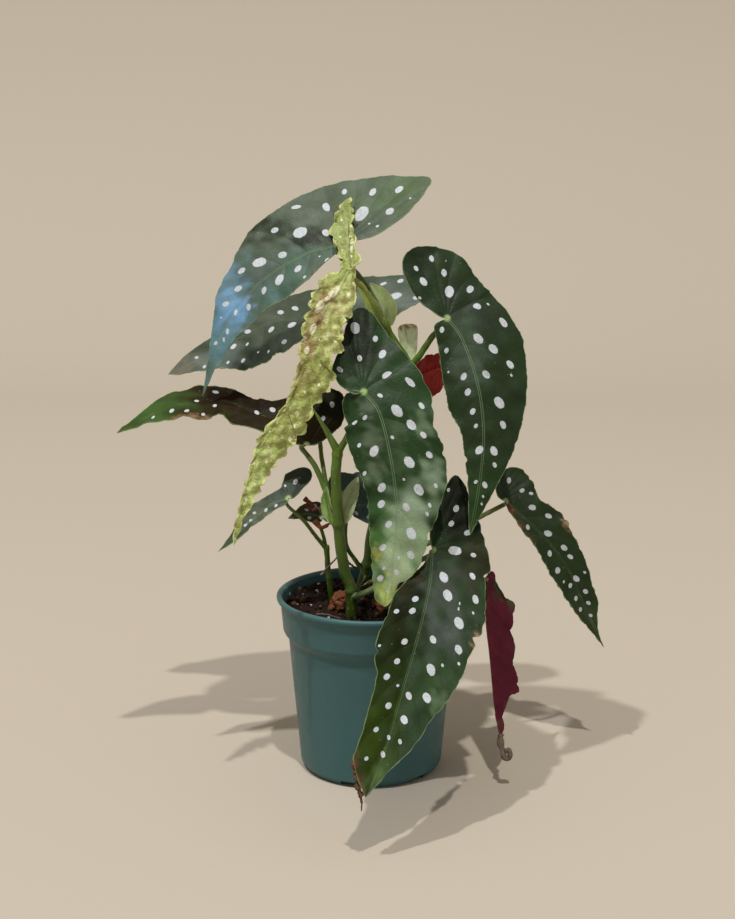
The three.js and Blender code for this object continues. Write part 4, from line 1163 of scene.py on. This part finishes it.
# Half outlines of scales, as shares of the length and of the width.
POINTED_EDGE = [[0.05, 0.35], [0.3, 0.5], [0.65, 0.42], [0.9, 0.18]]
BLUNT_EDGE = [[0.05, 0.25], [0.35, 0.38], [0.75, 0.5], [0.96, 0.46]]


def scale_shape(midrib, face, width, fold, edge=POINTED_EDGE, **more):
    """A stipule or other narrow scale, with the outline of its solid."""
    length = Run(midrib, power=0.5).length
    return dict(
        midrib=midrib, face=[face, face], hand=1, fold=[[fold, fold], [fold, fold]],
        droop=0, waves=1, wave_height=0,
        big=[[s * length, t * width] for s, t in edge],
        small=[[s * length, -t * width] for s, t in edge],
        ridge=0.1, puff=0.1, ragged=0.4, scallop=(0.1, 5), ruffle=0.3, **more)


STIPULES = {
    "stipule_front_left": scale_shape(
        [[-19, -15, 144], [-23, -13, 153], [-24, -13, 164]], [-0.6, -0.8, 0], 9, 30, tone=(118, 148, 80)),
    # The front right stipule's tone is painted paler than its own: painted light on a scale that lies in
    # shade.
    "stipule_front_right": scale_shape(
        [[-17, -16, 144], [-13, -12, 156], [-7, -8, 168]], [0.2, -0.9, 0.1], 11, 25, tone=(164, 182, 132)),
    "stipule_right": scale_shape(
        [[20, 0, 226], [20, 2, 238], [19, 2, 250]], [0.1, -1, 0], 11, 20, BLUNT_EDGE,
        tone=(184, 194, 150), patches=[(26, 3, 5, (116, 66, 38)), (26, -3, 5, (116, 66, 38))]),
    "stipule_top_left": scale_shape(
        [[7, -5, 249], [-2, -11, 265], [-9, -14, 276]], [0, -0.8, 0.3], 7, 25, tone=(142, 158, 78)),
    "stipule_top_right": scale_shape(
        [[8, -3, 249], [8, -4, 261], [-1, -5, 273]], [0.6, -0.8, 0.1], 10, 25, tone=(136, 150, 96)),
}
DRIED_LOOK = dict(tone=(128, 76, 48), puff=0.7, grain=4, ragged=3)
DRIED = {
    "dried_scales_left": [
        scale_shape([[-14, -13, 102], [-19, -9, 99], [-24, -4, 90]], [-0.3, -0.9, 0.4], 9, -30),
        scale_shape([[-15, -12, 98], [-20, -7, 97], [-21, 2, 90]], [-0.7, -0.5, 0.4], 9, -25)],
    "dried_scales_right": [
        scale_shape([[2, -3, 89], [6, -1, 96], [10, 1, 90]], [0, -0.8, 0.6], 9, -30),
        scale_shape([[8, -6, 89], [6, 0, 95], [3, 6, 89]], [0.7, -0.2, 0.6], 8, -25)],
}


BROWN = (96, 68, 52)
TAN = (150, 132, 96)
RUST = (112, 60, 38)
GREY_BROWN = (110, 98, 84)
THREAD_GREEN = (62, 84, 34)

# Dry threads and shreds: a path, the radii at its two ends, and a colour.
SHREDS = [
    ([[-10, -126, 53], [-8, -126, 46], [-7, -126, 40], [-5, -126, 35]], [0.7, 1.3], BROWN),
    ([[-6, -126, 36], [-5, -126, 32], [-5, -126, 27]], [0.8, 0.2], BROWN),
    ([[70, -32, 29], [71, -35, 22], [72, -37, 18], [75, -37, 17], [76, -37, 19], [75, -36, 22],
      [73, -36, 21]], [1.7, 1.1], GREY_BROWN),
    ([[-42, -58, 217], [-42, -58, 212], [-40, -57, 206], [-39, -56, 199], [-41, -56, 201]],
     [0.25, 0.35], TAN),
    ([[-37, 3, 153], [-34, 2, 151], [-32, 2, 147], [-34, 2, 148], [-36, 3, 150]], [1.3, 0.8], RUST),
    ([[-32, 1, 147], [-29, -2, 149], [-27, -4, 146]], [1.0, 0.7], BROWN),
    ([[-31, -4, 142], [-28, -6, 139], [-24, -9, 141], [-21, -13, 145]], [1.3, 0.6], RUST),
    ([[-23, -17, 154], [-22, -17, 150], [-20, -16, 145]], [0.3, 0.4], TAN),
    ([[-28, 0, 110], [-24, 2, 114], [-19, 4, 119]], [0.6, 0.4], GREY_BROWN),
    ([[-14, -4, 126], [-10, -4, 122], [-5, -4, 116]], [0.6, 0.6], THREAD_GREEN),
    ([[-14, -8, 122], [-12, -4, 118], [-8, 2, 113]], [0.5, 0.6], THREAD_GREEN),
    ([[-11, -2, 106], [-6, 2, 103], [-1, 5, 105]], [0.6, 0.4], TAN),
    ([[-9, 0, 101], [-5, 3, 105], [-3, 6, 108]], [0.5, 0.4], GREY_BROWN),
    ([[-20, -8, 96], [-14, -4, 98], [-8, -9, 97]], [0.5, 0.3], TAN),
    ([[-30, -14, 92], [-24, -18, 93], [-17, -22, 92]], [0.4, 0.3], GREY_BROWN),
]


def shreds(look):
    soup = Soup()
    for number, (path, radii, colour) in enumerate(SHREDS):
        out, faces, _ = tube(path, radii, SHRED_SIDES, step=0.5, wobble=0.45, seed=number)
        soup.add(out, faces, linear(colour))
    return soup.piece("dry_shreds", look, "dried_scale")


# The pot and its soil

def turned(profile, steps):
    """A closed profile of [radius, height] turned round the Z axis."""
    p = np.array(profile, float)
    angle = np.linspace(0, 2 * np.pi, steps, endpoint=False)
    points, faces = [], []
    inner = p[p[:, 0] > 1e-6]
    for a in angle:
        points += [[r * math.cos(a), r * math.sin(a), z] for r, z in inner]
    n = len(inner)
    for i in range(steps):
        here, there = i * n, ((i + 1) % steps) * n
        for j in range(n - 1):
            faces.append([here + j, there + j, there + j + 1, here + j + 1])
    low, high = len(points), len(points) + 1
    points += [[0, 0, p[0, 1]], [0, 0, p[-1, 1]]]
    for i in range(steps):
        here, there = i * n, ((i + 1) % steps) * n
        faces.append([here, low, there])
        faces.append([here + n - 1, there + n - 1, high])
    return np.array(points), faces


def rounded(profile, radius):
    """The profile with each inner corner cut into a short round."""
    p = np.array(profile, float)
    out = [p[0]]
    for a, b, c in zip(p, p[1:], p[2:]):
        r1 = min(radius, np.linalg.norm(b - a) * 0.45)
        r2 = min(radius, np.linalg.norm(c - b) * 0.45)
        start, end = b + (a - b) / np.linalg.norm(a - b) * r1, b + (c - b) / np.linalg.norm(c - b) * r2
        for u in (0, 0.33, 0.67, 1):
            out.append((1 - u) ** 2 * start + 2 * u * (1 - u) * b + u**2 * end)
    return [*out, p[-1]]


def notch_box():
    x, y, z = FOOT_NOTCH_REACH / 2, FOOT_NOTCH_WIDTH / 2, FOOT_NOTCH_HEIGHT
    corners = [[i * x + FOOT_RADIUS, j * y, h * z] for i in (-1, 1) for j in (-1, 1) for h in (-1, 1)]
    faces = [[0, 1, 3, 2], [4, 6, 7, 5], [0, 4, 5, 1], [2, 3, 7, 6], [0, 2, 6, 4], [1, 5, 7, 3]]
    return np.array(corners), faces


def hole_drum():
    n = HOLE_SIDES
    angle = np.linspace(0, 2 * np.pi, n, endpoint=False)
    x, y = DRAIN_RING_RADIUS + DRAIN_HOLE_RADIUS * np.cos(angle), DRAIN_HOLE_RADIUS * np.sin(angle)
    ends = [np.column_stack([x, y, np.full(n, height)]) for height in HOLE_CUTTER_SPAN]
    sides = [[j, (j + 1) % n, n + (j + 1) % n, n + j] for j in range(n)]
    caps = [list(range(n - 1, -1, -1)), list(range(n, 2 * n))]
    return np.vstack(ends), sides + caps


def pot(plastic):
    collar_foot = POT_HEIGHT - COLLAR_HEIGHT
    lip_foot = POT_HEIGHT - LIP_HEIGHT
    profile = [
        [0, 0],
        [CENTRE_BOSS_RADIUS, 0],
        [CENTRE_BOSS_RADIUS + 1, FLOOR_RISE],
        [FOOT_RADIUS - 3, FLOOR_RISE],
        [FOOT_RADIUS - 2, 0],
        [FOOT_RADIUS, 0],
        [BODY_FOOT_RADIUS, 3.6],
        [BODY_FOOT_RADIUS + 0.1, 5],
        [BODY_TOP_RADIUS, collar_foot - 3],
        [BODY_TOP_RADIUS + 1, collar_foot - 1.4],
        [COLLAR_RADIUS - COLLAR_TAPER - 0.6, collar_foot],
        [COLLAR_RADIUS - COLLAR_TAPER, collar_foot + 1.5],
        [COLLAR_RADIUS, lip_foot - 1],
        [LIP_RADIUS - 0.4, lip_foot - 0.4],
        [LIP_RADIUS, lip_foot + 0.4],
        [LIP_RADIUS, POT_HEIGHT - 0.8],
        [LIP_RADIUS - 0.8, POT_HEIGHT],
        [LIP_RADIUS - 2.2, POT_HEIGHT],
        [COLLAR_RADIUS - WALL, POT_HEIGHT - 1.4],
        [COLLAR_RADIUS - COLLAR_TAPER - WALL, collar_foot + 1.2],
        [BODY_TOP_RADIUS - WALL, collar_foot - 2.2],
        [BODY_FOOT_RADIUS - WALL, 6],
        [BODY_FOOT_RADIUS - WALL - 1.5, FLOOR_RISE + WALL],
        [0, FLOOR_RISE + WALL],
    ]
    points, faces = turned(rounded(profile, CORNER_RADIUS), TURN_STEPS)
    piece = new_piece("pot_shell", points, faces, [plastic], replaced=["pot"])
    cutters = []
    for k in range(FOOT_NOTCHES):
        angle = math.radians(FIRST_NOTCH_ANGLE + 360 / FOOT_NOTCHES * k)
        for name, form, further in (("notch", notch_box, 0), ("hole", hole_drum, math.pi / FOOT_NOTCHES)):
            points, faces = form()
            turn = np.array(Matrix.Rotation(angle + further, 3, "Z"))
            cutters.append(in_scene(f"{name}_{k}", new_mesh(name, points @ turn.T, faces)))
    for other in cutters:
        cut = piece.modifiers.new(other.name, "BOOLEAN")
        cut.object = other
        cut.solver = "EXACT"
    bpy.context.view_layer.update()
    made = bpy.data.meshes.new_from_object(piece.evaluated_get(bpy.context.evaluated_depsgraph_get()))
    piece.modifiers.clear()
    piece.data = made
    made.set_sharp_from_angle(angle=math.radians(POT_SHARP_ANGLE))
    for other in cutters:
        bpy.data.objects.remove(other)
    return piece


def soil_top(x, y):
    back = smoothstep(-35, 40, y)
    depth = SOIL_FRONT_DEPTH + (SOIL_BACK_DEPTH - SOIL_FRONT_DEPTH) * back
    mounds = 0.9 * np.sin(x * 0.31 + 1.2) * np.cos(y * 0.27) + 0.5 * np.sin(x * 0.71 + y * 0.53)
    return POT_HEIGHT - depth + mounds


def lump(rng, size):
    """An uneven crumb: points round the origin and faces."""
    rings, sides = 5, 7
    points = [[0, 0, size]]
    for i in range(1, rings):
        polar = math.pi * i / rings
        for j in range(sides):
            a = 2 * math.pi * j / sides
            r = size * rng.uniform(0.7, 1.15)
            points.append([r * math.sin(polar) * math.cos(a), r * math.sin(polar) * math.sin(a),
                           r * math.cos(polar)])
    points.append([0, 0, -size])
    faces = [[0, 1 + j, 1 + (j + 1) % sides] for j in range(sides)]
    for i in range(rings - 2):
        for j in range(sides):
            a, b = 1 + i * sides + j, 1 + i * sides + (j + 1) % sides
            faces.append([a, a + sides, b + sides, b])
    last = len(points) - 1
    faces += [[last, last - sides + (j + 1) % sides, last - sides + j] for j in range(sides)]
    turn = np.linalg.qr(rng.normal(size=(3, 3)))[0]
    return np.array(points) * rng.uniform([0.6, 0.6, 0.4], [1.4, 1.2, 0.9]) @ turn, faces


def soil_place(rng, reach):
    """A random place on the soil within a radius, and how far out it is."""
    away, turn = reach * math.sqrt(rng.random()), rng.uniform(0, 2 * math.pi)
    return away * math.cos(turn), away * math.sin(turn), away


def soil(crumbs):
    soup = Soup()
    rng = np.random.default_rng(SOIL_SEED)
    reach = COLLAR_RADIUS - WALL - SOIL_EDGE_GAP
    r = np.linspace(0.3, reach, SOIL_RINGS)[:, None]
    a = np.linspace(0, 2 * np.pi, SOIL_SIDES, endpoint=False)[None]
    x, y = r * np.cos(a), r * np.sin(a)
    z = soil_top(x, y) + 0.5 * ripple(x, y, 4, 3) + 0.35 * ripple(x, y, 1.8, 4)
    grid = np.stack([x, y, z], -1).reshape(-1, 3)
    foot = np.full(SOIL_SIDES, POT_HEIGHT - COLLAR_HEIGHT + SOIL_FOOT_RISE)
    skirt = np.stack([x[-1] * 0.985, y[-1] * 0.985, foot], -1)
    ids = np.arange((SOIL_RINGS + 1) * SOIL_SIDES).reshape(-1, SOIL_SIDES)
    faces = []
    for inner, outer in zip(ids.tolist(), ids[1:].tolist()):
        for j in range(SOIL_SIDES):
            k = (j + 1) % SOIL_SIDES
            faces.append([inner[j], outer[j], outer[k], inner[k]])
    faces += [ids[0, ::-1].tolist(), ids[-1, ::-1].tolist()]
    soup.add(np.vstack([grid, skirt]), faces, linear(SOIL_TONE))

    def lay(grain, x, y, raised, tone):
        points, faces = grain
        soup.add(points + [x, y, soil_top(x, y) + raised], faces, linear(tone))

    least, middling, most = CRUMB_SIZES
    for _ in range(CRUMBS):
        x, y, away = soil_place(rng, reach * 0.96)
        small = rng.random() < SMALL_CRUMB_SHARE
        size = rng.uniform(least, middling) if small else rng.uniform(middling, most)
        size = min(size, reach - away + 0.4)
        lay(lump(rng, size), x, y, size * 0.2, CRUMB_TONES[rng.integers(len(CRUMB_TONES))])
    for x, y in PERLITE_SEEN:
        lay(lump(rng, 1.0), x, y, 0.8, PERLITE_SEEN_TONE)
    for _ in range(PERLITE_GRAINS):
        x, y, _ = soil_place(rng, reach * 0.93)
        lay(lump(rng, rng.uniform(0.5, 1.0)), x, y, 0.6, PERLITE_TONE)
    return soup.piece("soil_bed", crumbs, "soil", ["soil"])


# Everything of the object

fresh, old = leaf_upper("begonia_leaf_upper", 0.2), leaf_upper("begonia_old_leaf_upper", 0.07)
underside, young, skin = leaf_under(), young_upper(), stem_skin()
stipule_look, dry_look = stipule_skin(), dry_skin()

for number, (name, shape) in enumerate(LEAVES.items()):
    grid, face, slot = LEAF_GRID, fresh, "leaf"
    if name in SMALL_LEAVES:
        grid = SMALL_GRID
    if name in OLD_LEAVES:
        face = old
    if name == "leaf_young":
        grid, face, slot = YOUNG_GRID, young, "young_leaf"
    blade(name + "_blade", shape, grid, [face, underside], LEAF_SEED + number * 7,
          replaced=[name])

for number, (name, shape) in enumerate(STIPULES.items()):
    blade(name, shape, STIPULE_GRID, [stipule_look, stipule_look], STIPULE_SEED + number * 5,
          thickness=STIPULE_THICKNESS)

for name, shapes in DRIED.items():
    for number, shape in enumerate(shapes):
        blade(f"{name}_{number}", {**shape, **DRIED_LOOK}, DRY_GRID, [dry_look, dry_look],
              DRY_SEED + number * 5, thickness=DRY_THICKNESS, replaced=[name])

for name in STEMS:
    stem(name, skin)
shreds(dry_look)
pot(pot_plastic())
soil(soil_crumbs())


# Camera, floor and light

def camera():
    data = bpy.data.cameras.new("camera")
    data.lens = CAMERA_LENS
    data.sensor_width = SENSOR_WIDTH
    data.clip_start = 0.05
    made = in_scene("camera", data)
    made.location = Vector(CAMERA_PLACE) * MM
    made.rotation_euler = (math.pi / 2 - CAMERA_PITCH, 0, 0)
    bpy.context.scene.camera = made


def floor():
    """A sheet of plain pale paper that lies under the pot and curves up far behind it."""
    line = [(PAPER_FRONT, 0), (PAPER_MIDDLE, 0), (BEND_START, 0)]
    for a in np.linspace(0.08, math.pi / 2, 18):
        line.append((BEND_START + BEND_RADIUS * math.sin(a), BEND_RADIUS - BEND_RADIUS * math.cos(a)))
    line.append((BEND_START + BEND_RADIUS, PAPER_TOP))
    points = [[x, y, z] for y, z in line for x in (-PAPER_HALF_WIDTH, PAPER_HALF_WIDTH)]
    faces = [[k, k + 1, k + 3, k + 2] for k in range(0, len(points) - 2, 2)]
    look = Look("studio_paper")
    look.set(Base_Color=linear(PAPER_TONE), Roughness=0.9, Specular_IOR_Level=0.2)
    mesh = new_mesh("studio_floor", points, faces)
    mesh.materials.append(look.material)
    mesh.polygons.foreach_set("use_smooth", [True] * len(mesh.polygons))
    made = in_scene("studio_floor", mesh)


def lamp(name, place, colour):
    data = bpy.data.lights.new(name, "AREA")
    data.shape = "DISK"
    data.size = LAMP_SIZE
    data.energy = LAMP_POWER
    data.color = colour
    made = in_scene(name, data)
    made.location = place
    made.rotation_euler = (Vector(LAMP_AIM) - Vector(place)).to_track_quat("-Z", "Y").to_euler()


def world():
    made = bpy.data.worlds.new("studio_air")
    made.use_nodes = True
    background = made.node_tree.nodes["Background"]
    background.inputs["Color"].default_value = (*AIR_COLOUR, 1)
    background.inputs["Strength"].default_value = AIR_STRENGTH
    bpy.context.scene.world = made


camera()
floor()
world()
for name, (place, colour) in LAMPS.items():
    lamp(name, place, colour)
bpy.context.scene.view_settings.view_transform = "Standard"
